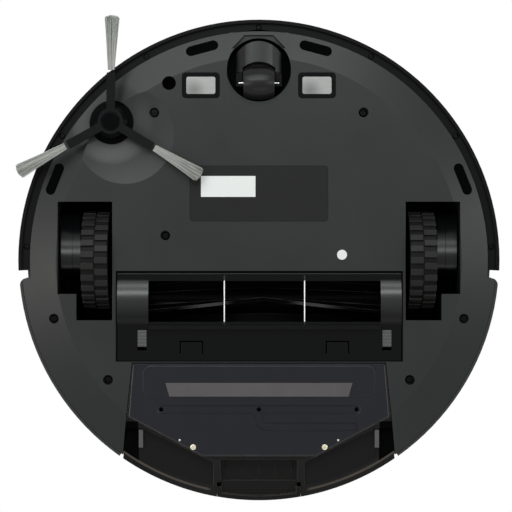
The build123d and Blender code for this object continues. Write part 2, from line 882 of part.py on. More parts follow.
# Crowned caster wheel
with BuildPart() as caster_wheel:
    with BuildSketch(Plane((0, wheel_y, caster_wheel_r), (1, 0, 0), (0, -1, 0))):
        with BuildLine():
            half_w = caster_wheel_w / 2
            rim_r = caster_wheel_r - caster_crown
            bore = caster_axle_r + shaft_gap
            ThreePointArc((-half_w, rim_r), (0, caster_wheel_r), (half_w, rim_r))
            Polyline((half_w, rim_r), (half_w, bore), (-half_w, bore), (-half_w, rim_r))
        make_face()
    revolve(axis=Axis((0, wheel_y, caster_wheel_r), (1, 0, 0)))
save(caster_wheel, "caster_wheel")


def lug_row(x0, x1, turn):
    """One row of the tyre's block tread."""
    pitch = 2 * math.pi * wheel_r / lug_count
    with BuildSketch(Plane.YZ.offset(x0)) as row:
        with Locations((0, axle_z)):
            Circle(wheel_r - lug_h)
            with PolarLocations(wheel_r - lug_h, lug_count, turn):
                Rectangle(2 * lug_h, pitch * lug_fill)
    extrude(row.sketch, amount=x1 - x0)


# Drive wheel, suspension arm, gearbox and motor of each side
for side, hand in ((-1, "left"), (1, "right")):
    x_in = side * wheel_x
    x_out = side * (wheel_x + wheel_w)
    x_mid = (x_in + x_out) / 2
    rim = wheel_r - tyre_t

    with BuildPart() as tyre:
        lug_row(x_in, x_mid - side * tread_split / 2, -90)
        lug_row(x_out, x_mid + side * tread_split / 2, -90 + 180 / lug_count)
        rod_x(x_in, x_out, 0, axle_z, wheel_r - lug_h)
        rod_x(x_in, x_out, 0, axle_z, rim, Mode.SUBTRACT)
    save(tyre, f"{hand}_tyre")

    with BuildPart() as hub:
        rod_x(x_in, x_out, 0, axle_z, rim)
        rod_x(x_in, x_out - side * hub_web, 0, axle_z, rim - lug_h, Mode.SUBTRACT)
        rod_x(x_in, x_out, 0, axle_z, hub_r_inner)
        rod_x(x_in, x_out, 0, axle_z, wheel_axle_r, Mode.SUBTRACT)
    save(hub, f"{hand}_hub")

    with BuildPart() as axle:
        rod_x(x_in, side * (arm_x + arm_t - web - seat_gap), 0, axle_z, wheel_axle_r)
    save(axle, f"{hand}_axle")

    seam = side * (arm_x + arm_lid)
    arm_end = side * (arm_x + arm_t)
    motor_z = axle_z + arm_axle_end + drive_motor_r - web
    pocket_x = arm_end - side * coil_length
    motor_x = (side * arm_x + arm_end) / 2
    motor_half = drive_motor_length / 2
    with BuildPart() as gearbox:
        for x0, x1, shrink in ((side * arm_x, seam, seam_step), (seam, arm_end, 0)):
            with BuildSketch(Plane.YZ.offset(x0)):
                with BuildLine():
                    CenterArc((pivot_y, pivot_z), arm_pivot_end - shrink, 0, 360)
                    CenterArc((0, axle_z), arm_axle_end - shrink, 0, 360)
                make_hull()
            extrude(amount=x1 - x0)
        block(side * arm_x, arm_end, drive_motor_y - saddle_length / 2, drive_motor_y + saddle_length / 2,
              axle_z, motor_z - web)
        rod_y(motor_x, drive_motor_y - motor_half, drive_motor_y + motor_half, motor_z, drive_motor_r,
              Mode.SUBTRACT)
        rod_x(side * arm_x, arm_end, pivot_y, pivot_z, pivot_r + shaft_gap, Mode.SUBTRACT)
        rod_x(side * arm_x, arm_end - side * web, 0, axle_z, wheel_axle_r + shaft_gap, Mode.SUBTRACT)
        rod_x(pocket_x, arm_end, pivot_y, pivot_z, coil_r + slide_gap, Mode.SUBTRACT)
    save(gearbox, f"{hand}_gearbox")

    with BuildPart() as drive_motor:
        rod_y(motor_x, drive_motor_y - motor_half, drive_motor_y + motor_half, motor_z, drive_motor_r)
    save(drive_motor, f"{hand}_drive_motor")

# Steel pivot pins of the arms, and the torsion springs wound round them
with BuildPart() as pivot_pins:
    for side in (-1, 1):
        rod_x(side * arm_x, side * (well_out_x + well_wall + web), pivot_y, pivot_z, pivot_r)
save(pivot_pins, "pivot_pins")

with BuildPart() as suspension_springs:
    for side in (-1, 1):
        spring_x = side * (arm_x + arm_t - coil_length + slide_gap)
        rod_x(spring_x, side * well_out_x, pivot_y, pivot_z, coil_r)
        rod_x(spring_x, side * well_out_x, pivot_y, pivot_z, coil_r - coil_wire, Mode.SUBTRACT)
save(suspension_springs, "suspension_springs")


def toothed_wheel(x0, y, z, teeth, turn):
    """Spur gear with slim straight-sided teeth, across X."""
    pitch_r = gear_module * teeth / 2
    tooth_h = gear_addendum + gear_dedendum
    with BuildSketch(Plane.YZ.offset(x0)) as teeth_face:
        with Locations((y, z)):
            Circle(pitch_r - gear_dedendum + tooth_sink)
            with PolarLocations(pitch_r + (gear_addendum - gear_dedendum) / 2, teeth, turn):
                Trapezoid(tooth_root, tooth_h, tooth_flank, rotation=-90)
    extrude(teeth_face.sketch, amount=gear_face)


# Main brush: core with its drive gear and journals, and the rubber sleeve with chevron blades
brush_mid = (brush_left + brush_right) / 2
with BuildPart() as brush_core:
    toothed_wheel(gear_x, brush_y, brush_z, gear_teeth, gear_lean)
    rod_x(brush_left, brush_right, brush_y, brush_z, brush_core_r)
    rod_x(brush_right, brush_right + brush_journal, brush_y, brush_z, brush_journal_r)
    rod_x(cavity_left - brush_journal / 2, brush_left, brush_y, brush_z, brush_journal_r)
save(brush_core, "brush_core")

blade_step = 0.5
blade_steps = (0.0, blade_step)
with BuildPart() as brush_rubber:
    rod_x(brush_left, brush_right, brush_y, brush_z, brush_sleeve_r)
    for number in range(brush_blades):
        start = brush_phase + 360 * number / brush_blades
        for x_end in (brush_left, brush_right):
            for share in blade_steps:
                for part in (share, share + blade_step):
                    turn = math.radians(start + brush_twist * (1 - part))
                    x = x_end + (brush_mid - x_end) * part
                    outward = (0, math.cos(turn), math.sin(turn))
                    with BuildSketch(Plane((x, brush_y, brush_z), outward, (1, 0, 0))):
                        with BuildLine():
                            Polyline((brush_core_r, -brush_blade_t), (brush_r, -brush_blade_t / 2),
                                     (brush_r, brush_blade_t / 2), (brush_core_r, brush_blade_t), close=True)
                        make_face()
                loft(ruled=True)
    rod_x(brush_left, brush_right, brush_y, brush_z, brush_core_r, Mode.SUBTRACT)
save(brush_rubber, "brush_rubber")

with BuildPart() as brush_pinion:
    toothed_wheel(gear_x, pinion_y, pinion_z, pinion_teeth, gear_lean + 180 + 180 / pinion_teeth)
    rod_x(chamber_left - brush_journal, gear_x + gear_face, pinion_y, pinion_z, pinion_shaft_r)
save(brush_pinion, "brush_pinion")

with BuildPart() as brush_motor:
    rod_x(chamber_left - brush_motor_length, chamber_left, pinion_y, pinion_z, brush_motor_r)
    rod_x(chamber_left - brush_journal - slide_gap, chamber_left, pinion_y, pinion_z,
          pinion_shaft_r + shaft_gap, Mode.SUBTRACT)
save(brush_motor, "brush_motor")

with BuildPart() as brush_bearing:
    rod_x(brush_right + slide_gap, cavity_right + bearing_seat, brush_y, brush_z, brush_bearing_r)
    rod_x(brush_right, cavity_right + bearing_seat, brush_y, brush_z, brush_journal_r + shaft_gap,
          Mode.SUBTRACT)
save(brush_bearing, "brush_bearing")

# Brush chamber with the gear case, the duct to the bin and the fan's seat
hole_left = guard_left - slide_gap
hole_right = guard_right + slide_gap
hole_front = guard_front - guard_gap
hole_back = guard_back + slide_gap
pinion_pocket = gear_module * pinion_teeth / 2 + gear_addendum + 2 * slide_gap
with BuildPart() as brush_chamber:
    rod_x(chamber_left, chamber_right, brush_y, brush_z, chamber_r + chamber_wall)
    block(chamber_left, chamber_right, chamber_front, chamber_back, plate_top, chamber_pocket + chamber_deck)
    block(-duct_half - web, duct_half + web, brush_y, chamber_back, duct_low - web, duct_high + web)
    block(chamber_left, gear_x + gear_face + 2 * web, brush_y, pinion_y + pinion_pocket + web,
          chamber_pocket, pinion_z + pinion_pocket + web)
    block(fan_x - fan_r, fan_x + fan_r, brush_y - fan_r / 2, brush_y + fan_r / 2, brush_z, fan_seat)
    block(chamber_left, chamber_right, 0, chamber_back, 0, plate_top, Mode.SUBTRACT)
    block(hole_left, hole_right, hole_front, hole_back, 0, chamber_pocket, Mode.SUBTRACT)
    block(chamber_left, chamber_right, hole_back, chamber_back, 0, ledge_top, Mode.SUBTRACT)
    rod_x(cavity_left, cavity_right, brush_y, brush_z, chamber_r, Mode.SUBTRACT)
    rod_x(cavity_right, cavity_right + bearing_seat, brush_y, brush_z, brush_bearing_r + seat_gap,
          Mode.SUBTRACT)
    rod_x(cavity_left - brush_journal / 2 - slide_gap, cavity_left, brush_y, brush_z,
          brush_journal_r + shaft_gap, Mode.SUBTRACT)
    rod_x(cavity_left, gear_x + gear_face + web, pinion_y, pinion_z, pinion_pocket, Mode.SUBTRACT)
    rod_x(chamber_left, cavity_left, pinion_y, pinion_z, pinion_shaft_r + slide_gap, Mode.SUBTRACT)
    block(-duct_half, duct_half, brush_y + chamber_r / 2, chamber_back, duct_low, duct_high, Mode.SUBTRACT)
save(brush_chamber, "brush_chamber")

# Brush guard: frame with convex end caps, hooks and latch slots
guard_top = ground_gap + guard_t
cap_front = mouth_front - cap_lead
cap_half = (cap_back - cap_front) / 2
cap_ball = (cap_half ** 2 + cap_bulge ** 2) / (2 * cap_bulge)
mouth_width = mouth_right - mouth_left
mouth_mid = (mouth_left + mouth_right) / 2
wire_spots = (mouth_left + mouth_width * wire_share, mouth_right - mouth_width * wire_share)
wire_z = ground_gap + wire_sunk
strip_y = cap_back - squeegee_t
latch_spots = (mouth_left - latch_offset, mouth_right + latch_offset)
hinge_r = guard_t / 2
with BuildPart() as guard_frame:
    block(guard_left, guard_right, guard_front + hinge_r, guard_back, ground_gap, guard_top)
    rod_x(guard_left, guard_right, guard_front + hinge_r, ground_gap + hinge_r, hinge_r)
    for x0, x1 in ((guard_left, mouth_left), (mouth_right, guard_right)):
        with BuildSketch(Plane.YZ.offset(x0)):
            with Locations((cap_front + cap_half, ground_gap - cap_bulge + cap_ball)):
                Circle(cap_ball)
            with Locations((cap_front + cap_half, 0)):
                Rectangle(2 * cap_half, 2 * (ground_gap + slide_gap), mode=Mode.INTERSECT)
        extrude(amount=x1 - x0)
    block(mouth_left, mouth_right, mouth_front, mouth_back, 0, guard_top, Mode.SUBTRACT)
    rod_x(cavity_left - slide_gap, cavity_right, brush_y, brush_z, chamber_r, Mode.SUBTRACT)
    block(guard_left, guard_right, cap_back, guard_back, 0, ground_gap + plate_sunk, Mode.SUBTRACT)
    block(mouth_left, mouth_right, strip_y, cap_back, 0, ground_gap + guard_t / 2, Mode.SUBTRACT)
    block(guard_left, guard_right, guard_back, bay_front - web / 2 - slide_gap, ground_gap + lip_sunk,
          ground_gap + ledge_sunk - slide_gap)
    for hook_x in (mouth_mid - hook_spread, mouth_mid + hook_spread):
        for edge in (-1, 1):
            slot_x = hook_x + edge * (hook_width - hook_slot) / 2
            block(slot_x - hook_slot / 2, slot_x + hook_slot / 2, hook_y - hook_length / 2,
                  hook_y + hook_length / 2, 0, guard_top, Mode.SUBTRACT)
        block(hook_x - hook_width / 2, hook_x + hook_width / 2, hook_y - hook_length / 2,
              hook_y - hook_length / 2 + hook_slot, 0, guard_top, Mode.SUBTRACT)
    for latch_x in latch_spots:
        half = latch_width / 2 + slide_gap
        latch_room = latch_length + latch_travel + 2 * slide_gap
        block(latch_x - half, latch_x + half, cap_back, cap_back + latch_room, 0, guard_top, Mode.SUBTRACT)
    for wire_x in wire_spots:
        rod_y(wire_x, mouth_front - wire_end - slide_gap, strip_y - slide_gap, wire_z, wire_r + shaft_gap,
              Mode.SUBTRACT)
save(guard_frame, "guard_frame")

with BuildPart() as guard_wires:
    for wire_x in wire_spots:
        rod_y(wire_x, mouth_front - wire_end, strip_y - 2 * slide_gap, wire_z, wire_r)
save(guard_wires, "guard_wires")

with BuildPart() as guard_squeegee:
    block(mouth_left + seat_gap, mouth_right - seat_gap, strip_y, cap_back - seat_gap, squeegee_low,
          ground_gap + guard_t / 2)
save(guard_squeegee, "guard_squeegee")

for latch_x, hand in zip(latch_spots, ("left", "right")):
    with BuildPart() as latch:
        half = latch_width / 2
        y0 = cap_back + slide_gap
        block(latch_x - half, latch_x + half, y0, y0 + latch_length, ground_gap, guard_top + slide_gap)
        block(latch_x - half - latch_rim, latch_x + half + latch_rim, y0, y0 + latch_length,
              guard_top + slide_gap, guard_top + slide_gap + latch_rim)
        for number in range(latch_ribs):
            rib_y = y0 + latch_length * (number + 0.5) / latch_ribs
            rib_half = latch_length / latch_ribs / 4
            block(latch_x - half, latch_x + half, rib_y - rib_half, rib_y + rib_half,
                  ground_gap - slide_gap, ground_gap)
    save(latch, f"{hand}_guard_latch")

# Side brush: hub on its shaft, rubber arms and bristle tufts
shaft_top = side_recess_top + web + side_shaft_length
with BuildPart() as side_hub:
    with BuildSketch(Plane((side_x, side_y, 0), (1, 0, 0), (0, -1, 0))):
        with BuildLine():
            dome_knee = side_hub_r * dome_share
            dome_edge = side_hub_low + dome_drop
            ThreePointArc((0, side_hub_low), (dome_knee, side_hub_low + dome_drop * dome_share ** 3),
                          (side_hub_r, dome_edge))
            Polyline((side_hub_r, dome_edge), (side_hub_r, side_hub_high), (0, side_hub_high),
                     (0, side_hub_low))
        make_face()
    revolve(axis=Axis((side_x, side_y, 0), (0, 0, 1)))
    rod_z(side_x, side_y, side_boss_r, side_boss_low, side_hub_high)
    fillet(side_hub.edges().group_by(Axis.Z)[0], side_hub_low - side_boss_low - shaft_gap)
    rod_z(side_x, side_y, side_boss_r, side_hub_high, side_recess_top - slide_gap)
    rod_z(side_x, side_y, side_shaft_r, side_hub_low, shaft_top)
save(side_hub, "side_hub")

arm_angles = [side_phase + 360 * number / side_arms for number in range(side_arms)]
arm_end_r = side_arm_r - tuft_slice


def side_plane(angle):
    """Upright plane along one arm of the side brush, from the hub outwards."""
    turn = math.radians(angle)
    return Plane((side_x, side_y, 0), (math.cos(turn), math.sin(turn), 0),
                 (math.sin(turn), -math.cos(turn), 0))


def arm_low(radius):
    """Height of an arm's underside."""
    share = (radius - side_boss_r) / (side_arm_r - side_boss_r)
    return side_arm_high + (side_arm_low - side_arm_high) * share


def arm_piece(angle, r0, r1):
    """Stretch of one arm between two radii."""
    with BuildSketch(side_plane(angle)) as flank:
        with BuildLine():
            Polyline((r0, arm_low(r0)), (r1, arm_low(r1)), (r1, arm_low(r1) + side_arm_t),
                     (r0, arm_low(r0) + side_arm_t), close=True)
        make_face()
    extrude(flank.sketch, amount=side_arm_w / 2, both=True)


with BuildPart() as side_arms_rubber:
    rod_z(side_x, side_y, side_boss_r + web, side_arm_high, dome_edge)
    for angle in arm_angles:
        arm_piece(angle, side_boss_r - web, arm_end_r)
    add(side_hub.part, mode=Mode.SUBTRACT)
save(side_arms_rubber, "side_arms_rubber")


def strand(angle, column, row):
    """One bristle, from its arm's end to its tip; column and row run from -1 to 1."""
    frame = side_plane(angle)
    root_z = arm_low(side_arm_r) + side_arm_t / 2 + row * bristle_root_h / 2
    tip_z = bristle_tip_z + row * bristle_tip_h / 2
    root = frame.from_local_coords(Vector(side_arm_r - bristle_t, root_z, column * bristle_root_w / 2))
    reach = bristle_tip_r - bristle_ragged * column ** 2
    tip = frame.from_local_coords(Vector(reach, tip_z, column * bristle_tip_w / 2))
    axis = tip - root
    return extrude(Plane(root, z_dir=axis) * Rectangle(bristle_t, bristle_t), amount=axis.length)


def spread(count):
    """Even steps from -1 to 1."""
    return [2 * number / (count - 1) - 1 for number in range(count)]


strands = [strand(angle, column, row) for angle in arm_angles
           for column in spread(bristle_columns) for row in spread(bristle_rows)]
with BuildPart() as side_bristles:
    for angle in arm_angles:
        arm_piece(angle, arm_end_r, side_arm_r)
    add(strands)
save(side_bristles, "side_bristles")
print("bristle strands", len(strands))

# Geared motor of the side brush
motor_low = side_recess_top + web
with BuildPart() as side_motor:
    with BuildSketch(Plane.XY.offset(motor_low)):
        with BuildLine():
            CenterArc((side_x, side_y), side_motor_neck_r, 0, 360)
            CenterArc((side_motor_x, side_motor_y), side_motor_r, 0, 360)
        make_hull()
    extrude(amount=side_motor_high - motor_low)
    rod_z(side_x, side_y, side_shaft_r + shaft_gap, motor_low, shaft_top + slide_gap, Mode.SUBTRACT)
save(side_motor, "side_motor")


def tank_outline(grow=0.0, front=bay_front + bay_gap):
    """Outline of the water tank's panel; grow moves it outwards."""
    return ((-tank_front_half - grow, front), (-tank_mid_half - grow, tank_mid + grow / 2),
            (-tank_back_half - grow / 2, tank_back + grow), (tank_back_half + grow / 2, tank_back + grow),
            (tank_mid_half + grow, tank_mid + grow / 2), (tank_front_half + grow, front))


# Dust bin body, with the tank's space below the dust space
bin_front = bay_front + bay_gap
lid_low = bin_top - bin_lid_t
button_room = button_back - button_travel - slide_gap
with BuildPart() as bin_body:
    slab(bay_outline(-bay_gap, bin_front), 0, lid_low)
    rod_z(0, 0, body_r, 0, body_top, Mode.INTERSECT)
    under_trim()
    slab(((-bin_cavity_half, bin_front + bin_wall), (bin_cavity_half, bin_front + bin_wall),
          (bin_cavity_half, bin_cavity_side), (bin_cavity_back_half, bin_cavity_back),
          (-bin_cavity_back_half, bin_cavity_back), (-bin_cavity_half, bin_cavity_side)),
         bin_floor, lid_low, Mode.SUBTRACT)
    block(-duct_half, duct_half, bin_front, bin_front + bin_wall, duct_low, duct_high, Mode.SUBTRACT)
    block(filter_left, filter_right, bin_front, bin_front + bin_wall, filter_low, filter_high, Mode.SUBTRACT)
    slab(tank_outline(seat_gap), 0, ground_gap + tank_t, Mode.SUBTRACT)
    slab(tank_outline(-tank_rim, bin_front + tank_rim), 0, tank_roof, Mode.SUBTRACT)
    for side in (-1, 1):
        with BuildSketch():
            with BuildLine():
                Polyline((side * scoop_in, tank_back + tank_rim), (side * scoop_in, body_r),
                         (side * bay_back_half, body_r), (side * bay_back_half, scoop_front),
                         (side * scoop_corner, scoop_front), close=True)
            make_face()
            Circle(body_r - scoop_rim, mode=Mode.INTERSECT)
        extrude(amount=scoop_top, mode=Mode.SUBTRACT)
        block(side * (rail_half - slide_gap), side * (bay_back_half + bay_wall), 0, rail_back + slide_gap,
              rail_low - slide_gap, rail_high + slide_gap, Mode.SUBTRACT)
        rod_z(side * tank_screw_x, tank_screw_y, tank_screw_r + shaft_gap, 0, tank_roof - web, Mode.SUBTRACT)
    block(-grip_half, grip_half, grip_front, button_room, 0, grip_top, Mode.SUBTRACT)
    block(-button_half - slide_gap, button_half + slide_gap, button_room, body_r, 0,
          button_high + slide_gap, Mode.SUBTRACT)
save(bin_body, "bin_body")

with BuildPart() as bin_lid:
    slab(bay_outline(-bay_gap, bin_front), lid_low, bin_top)
    rod_z(0, 0, body_r, 0, body_top, Mode.INTERSECT)
save(bin_lid, "bin_lid")

# Smoked tank panel with its raised pad, water channel and outlets
with BuildPart() as tank_panel:
    slab(tank_outline(), ground_gap, ground_gap + tank_t)
    chamfer(tank_panel.faces().sort_by(Axis.Z)[0].edges(), tank_chamfer)
    with BuildSketch(Plane.XY.offset(ground_gap - pad_raise)):
        with Locations((0, (pad_front + pad_back) / 2)):
            RectangleRounded(2 * pad_half, pad_back - pad_front, channel_w)
    extrude(amount=pad_raise)
    with BuildSketch(Plane.XY.offset(ground_gap)):
        with Locations((0, outlet_y)):
            SlotCenterToCenter(2 * outlet_spread, channel_w)
    extrude(amount=channel_depth, mode=Mode.SUBTRACT)
    with BuildSketch(Plane.XY.offset(ground_gap)):
        with BuildLine():
            bend_y = outlet_y + branch_r
            CenterArc((-branch_r, bend_y), branch_r, -90, 90)
            CenterArc((branch_r, bend_y), branch_r, 180, -90)
            Line((branch_r, bend_y + branch_r), (outlet_spread, bend_y + branch_r))
        trace(line_width=channel_w)
    extrude(amount=channel_depth, mode=Mode.SUBTRACT)
    for outlet_x in (-outlet_spread, 0, outlet_spread):
        rod_z(outlet_x, outlet_y, outlet_r, 0, plate_top, Mode.SUBTRACT)
    slab(((-strip_front_half, strip_front), (strip_front_half, strip_front), (strip_back_half, strip_back),
          (-strip_back_half, strip_back)), 0, ground_gap - pad_raise + strip_t, Mode.SUBTRACT)
    for side in (-1, 1):
        rod_z(side * tank_screw_x, tank_screw_y, tank_screw_r + shaft_gap, 0, plate_top, Mode.SUBTRACT)
        rod_z(side * tank_screw_x, tank_screw_y, tank_screw_head + seat_gap, 0,
              ground_gap + tank_t / 2, Mode.SUBTRACT)
save(tank_panel, "tank_panel")

with BuildPart() as tank_strip:
    slab(((-strip_front_half, strip_front), (strip_front_half, strip_front), (strip_back_half, strip_back),
          (-strip_back_half, strip_back)), ground_gap - pad_raise, ground_gap - pad_raise + strip_t)
save(tank_strip, "tank_strip")

with BuildPart() as tank_screws:
    for side in (-1, 1):
        rod_z(side * tank_screw_x, tank_screw_y, tank_screw_head, ground_gap, ground_gap + tank_t / 2)
        rod_z(side * tank_screw_x, tank_screw_y, tank_screw_r, ground_gap + tank_t / 2, tank_roof - 2 * web)
save(tank_screws, "tank_screws")

with BuildPart() as bin_tabs:
    for side in (-1, 1):
        block(side * scoop_corner, side * (scoop_corner + tab_width), tab_y - tab_length / 2,
              tab_y + tab_length / 2, tab_low, scoop_top)
save(bin_tabs, "bin_tabs")

with BuildPart() as bin_filter:
    block(filter_left + seat_gap, filter_right - seat_gap, bin_front, bin_front + filter_t,
          filter_low + seat_gap, filter_high - seat_gap)
save(bin_filter, "bin_filter")

with BuildPart() as bin_seal:
    block(-duct_half - seal_w, duct_half + seal_w, bin_front - seal_t, bin_front, duct_low - seal_w,
          duct_high + seal_w)
    block(-duct_half, duct_half, bin_front - seal_t, bin_front, duct_low, duct_high, Mode.SUBTRACT)
save(bin_seal, "bin_seal")

# Release button at the rear of the bin, with its pull lip
with BuildPart() as bin_button:
    block(-button_half, button_half, button_back, body_r, button_low, button_high)
    rod_z(0, 0, body_r - button_inset, 0, body_top, Mode.INTERSECT)
    with BuildSketch(Plane.XY.offset(button_low)):
        Circle(body_r - button_inset - button_lip)
        with Locations((0, body_r)):
            Rectangle(2 * (button_half - button_lip), 2 * body_r, mode=Mode.INTERSECT)
    extrude(amount=button_hollow, mode=Mode.SUBTRACT)
    tongue_high = grip_top - slide_gap
    block(slide_gap - grip_half, grip_half - slide_gap, button_back - tongue_out, button_back + web,
          tongue_high - tongue_t, tongue_high)
save(bin_button, "bin_button")

# Battery, main board, and the fan with its motor
with BuildPart() as battery_pack:
    block(-battery_half, battery_half, battery_front, battery_back, plate_top, battery_high)
save(battery_pack, "battery_pack")

with BuildPart() as main_board:
    block(-board_half, board_half, board_front, board_back, board_z, board_z + board_t)
    for side in (-1, 1):
        with Locations((side * key_x, key_y, board_z + board_t + switch_h / 2)):
            Box(switch_size, switch_size, switch_h)
save(main_board, "main_board")

fan_floor = fan_seat + fan_wall
with BuildPart() as fan_housing:
    rod_z(fan_x, fan_y, fan_r, fan_seat, fan_seat + fan_h)
    rod_z(fan_x, fan_y, fan_r - fan_wall, fan_floor, fan_seat + fan_h - fan_wall, Mode.SUBTRACT)
    rod_z(fan_x, fan_y, fan_motor_r, fan_floor, fan_seat + fan_h, Mode.SUBTRACT)
    rod_z(fan_x, fan_y, fan_motor_r, fan_floor, fan_floor + fan_motor_h)
    rod_z(fan_x, fan_y, fan_shaft_r, fan_floor, fan_floor + fan_motor_h + impeller_h)
save(fan_housing, "fan_housing")

with BuildPart() as fan_impeller:
    disc_z = fan_floor + fan_motor_h + slide_gap
    rod_z(fan_x, fan_y, impeller_r, disc_z, disc_z + web)
    rod_z(fan_x, fan_y, fan_shaft_r + web, disc_z, disc_z + impeller_h)
    with BuildSketch(Plane.XY.offset(disc_z)):
        with Locations((fan_x, fan_y)):
            with PolarLocations(impeller_r / 2 + web, impeller_blades):
                Rectangle(impeller_r - 2 * web, impeller_blade_t, rotation=impeller_lean)
    extrude(amount=impeller_h)
    rod_z(fan_x, fan_y, impeller_r, disc_z, disc_z + impeller_h, Mode.INTERSECT)
    rod_z(fan_x, fan_y, fan_shaft_r + shaft_gap, disc_z, disc_z + impeller_h, Mode.SUBTRACT)
save(fan_impeller, "fan_impeller")

# Keys in the top cover
key_low = board_z + board_t + switch_h + key_travel + slide_gap
for side, name in ((-1, "power_key"), (1, "home_key")):
    with BuildPart() as key:
        rod_z(side * key_x, key_y, key_r, cover_low, body_top + key_proud)
        rod_z(side * key_x, key_y, key_stem_r, key_low, cover_low)
    save(key, name)

# Distance sensor turret on the top cover, with its spinning drum
turret_floor = body_top + turret_base_t
cap_low = turret_floor + turret_gap_h
with BuildPart() as turret_housing:
    rod_z(0, turret_y, turret_r, cap_low, cap_low + turret_cap_t)
    fillet(turret_housing.edges().group_by(Axis.Z)[-1], edge_round)
    rod_z(0, turret_y, turret_r, body_top, turret_floor)
    rod_z(0, turret_y, spindle_r, turret_floor, turret_floor + rotor_h)
    with BuildSketch(Plane.XY.offset(turret_floor)):
        with Locations((0, turret_y)):
            with PolarLocations(turret_r - turret_post_r - edge_round, turret_posts):
                Circle(turret_post_r)
    extrude(amount=turret_gap_h)
save(turret_housing, "turret_housing")

with BuildPart() as turret_rotor:
    rotor_low = turret_floor + slide_gap
    rod_z(0, turret_y, rotor_r, rotor_low, rotor_low + rotor_h)
    rod_z(0, turret_y, spindle_r + shaft_gap, rotor_low, rotor_low + rotor_h, Mode.SUBTRACT)
    for side in (-1, 1):
        rod_y(side * rotor_window_r * 2, turret_y - rotor_r, turret_y - rotor_r / 2,
              rotor_low + rotor_h / 2, rotor_window_r / 2, Mode.SUBTRACT)
save(turret_rotor, "turret_rotor")
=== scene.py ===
"""Finishes the robot vacuum's parts, grows its bristles, treads and springs, and sets its studio."""
import math

import bmesh
import bpy
from bpy.props import FloatProperty, FloatVectorProperty, IntProperty, PointerProperty
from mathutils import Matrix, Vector


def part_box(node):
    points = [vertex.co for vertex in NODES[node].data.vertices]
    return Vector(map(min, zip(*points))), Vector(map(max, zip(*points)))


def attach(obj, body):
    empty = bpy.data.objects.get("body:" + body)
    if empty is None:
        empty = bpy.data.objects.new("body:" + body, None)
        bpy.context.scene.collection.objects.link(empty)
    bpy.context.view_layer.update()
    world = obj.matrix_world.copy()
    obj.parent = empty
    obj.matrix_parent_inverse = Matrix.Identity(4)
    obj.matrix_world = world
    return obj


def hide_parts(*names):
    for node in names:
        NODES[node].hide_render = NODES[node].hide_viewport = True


bl_info = {
    "name": "Robot vacuum",
    "version": (1, 0, 0),
    "blender": (4, 5, 0),
    "location": "3D View > Sidebar > Vacuum",
    "description": "Finishes the robot vacuum, grows its bristles and treads, and sets its studio",
    "category": "Object",
}

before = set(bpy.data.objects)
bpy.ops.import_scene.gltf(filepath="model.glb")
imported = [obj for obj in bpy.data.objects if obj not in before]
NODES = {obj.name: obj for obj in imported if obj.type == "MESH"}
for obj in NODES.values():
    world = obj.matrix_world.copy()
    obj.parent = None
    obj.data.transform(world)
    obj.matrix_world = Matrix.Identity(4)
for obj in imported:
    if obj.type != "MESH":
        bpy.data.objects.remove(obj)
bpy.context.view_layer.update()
MM = 0.001
UP = Vector((0.0, 0.0, 1.0))
CENTRE = Vector((0.0, 0.0, 0.0))
WELD = 0.001 * MM  # points that lie closer are one
SENSOR = 36.0  # width of the camera's sensor in mm

# Heights: the underside's plate, the body's widest part, and the roof of the bin's hollows.
PLATE_Z, WAIST_Z, HOLLOW_ROOF = 11.0 * MM, 19.0 * MM, 22.0 * MM
# Caster: from the fork's front to its swivel, and the well's radius.
FORK_R, WELL_R = 20.0 * MM, 23.2 * MM
# Side brush: the gap round its hub, and the dish round that.
HUB_RING_R, DISH_R, DISH_DEPTH = 16.0 * MM, 31.0 * MM, 1.3 * MM
# Brush guard: where the gloss of its end caps fades out.
CAP_FADE_START, CAP_FADE_END = 30.0 * MM, 46.0 * MM
# Dust bin: the scoops' rear edge, and where they start on either side.
SCOOP_R, SCOOP_IN = 170.0 * MM, 34.0 * MM
# Tank: half the water channel's length, and how far behind the panel's front it lies.
CHANNEL_HALF, CHANNEL_START, CHANNEL_END = 71.0 * MM, 28.0 * MM, 49.5 * MM
# Charging plates: the darker patch.
PATCH_R = 11.0 * MM
# Gearboxes: the ridge of their round covers, and its radius.
CROWN_Y, CROWN_R = 1.4 * MM, 30.0 * MM


def middle(node):
    """Middle of a CAD piece's box."""
    low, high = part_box(node)
    return (low + high) / 2


def colour(label, words, default):
    """A colour that a user may change."""
    return FloatVectorProperty(name=label, description=words, subtype="COLOR", size=3, min=0, max=1,
                               default=default)


def length(label, words, default):
    """A length that a user may change."""
    return FloatProperty(name=label, description=words, unit="LENGTH", min=0, default=default)


class VacuumColours(bpy.types.PropertyGroup):
    """Colours of the finishes."""
    base: colour("Base", "Grained plastic of the underside", (0.0094, 0.0104, 0.0106))
    shell: colour("Shell", "Satin plastic of the bumper", (0.0042, 0.0043, 0.0044))
    cover: colour("Cover", "Satin plastic of the top cover", (0.009, 0.0095, 0.01))
    bin: colour("Bin", "Polished plastic of the dust bin", (0.0045, 0.0044, 0.0043))
    guard: colour("Guard", "Plastic of the brush guard", (0.0016, 0.0018, 0.002))
    smoke: colour("Smoke", "Smoked plastic of the tank", (0.0062, 0.0066, 0.0105))
    rubber: colour("Rubber", "Rubber of the brushes", (0.0048, 0.0048, 0.005))
    tyre: colour("Tyre", "Rubber of the tyres", (0.0125, 0.0125, 0.012))
    bristle: colour("Bristle", "Nylon of the side brush", (0.40, 0.405, 0.38))
    tab: colour("Tab", "Translucent grey of the latches", (0.072, 0.072, 0.072))
    strip: colour("Strip", "Frosted strip in the tank", (0.082, 0.074, 0.076))
    steel: colour("Steel", "Bright steel", (0.55, 0.55, 0.54))
    brass: colour("Brass", "Plated tank screws", (0.62, 0.58, 0.46))
    paper: colour("Paper", "White stickers", (0.72, 0.73, 0.72))
    label: colour("Label", "Dark label film", (0.0105, 0.0105, 0.0105))


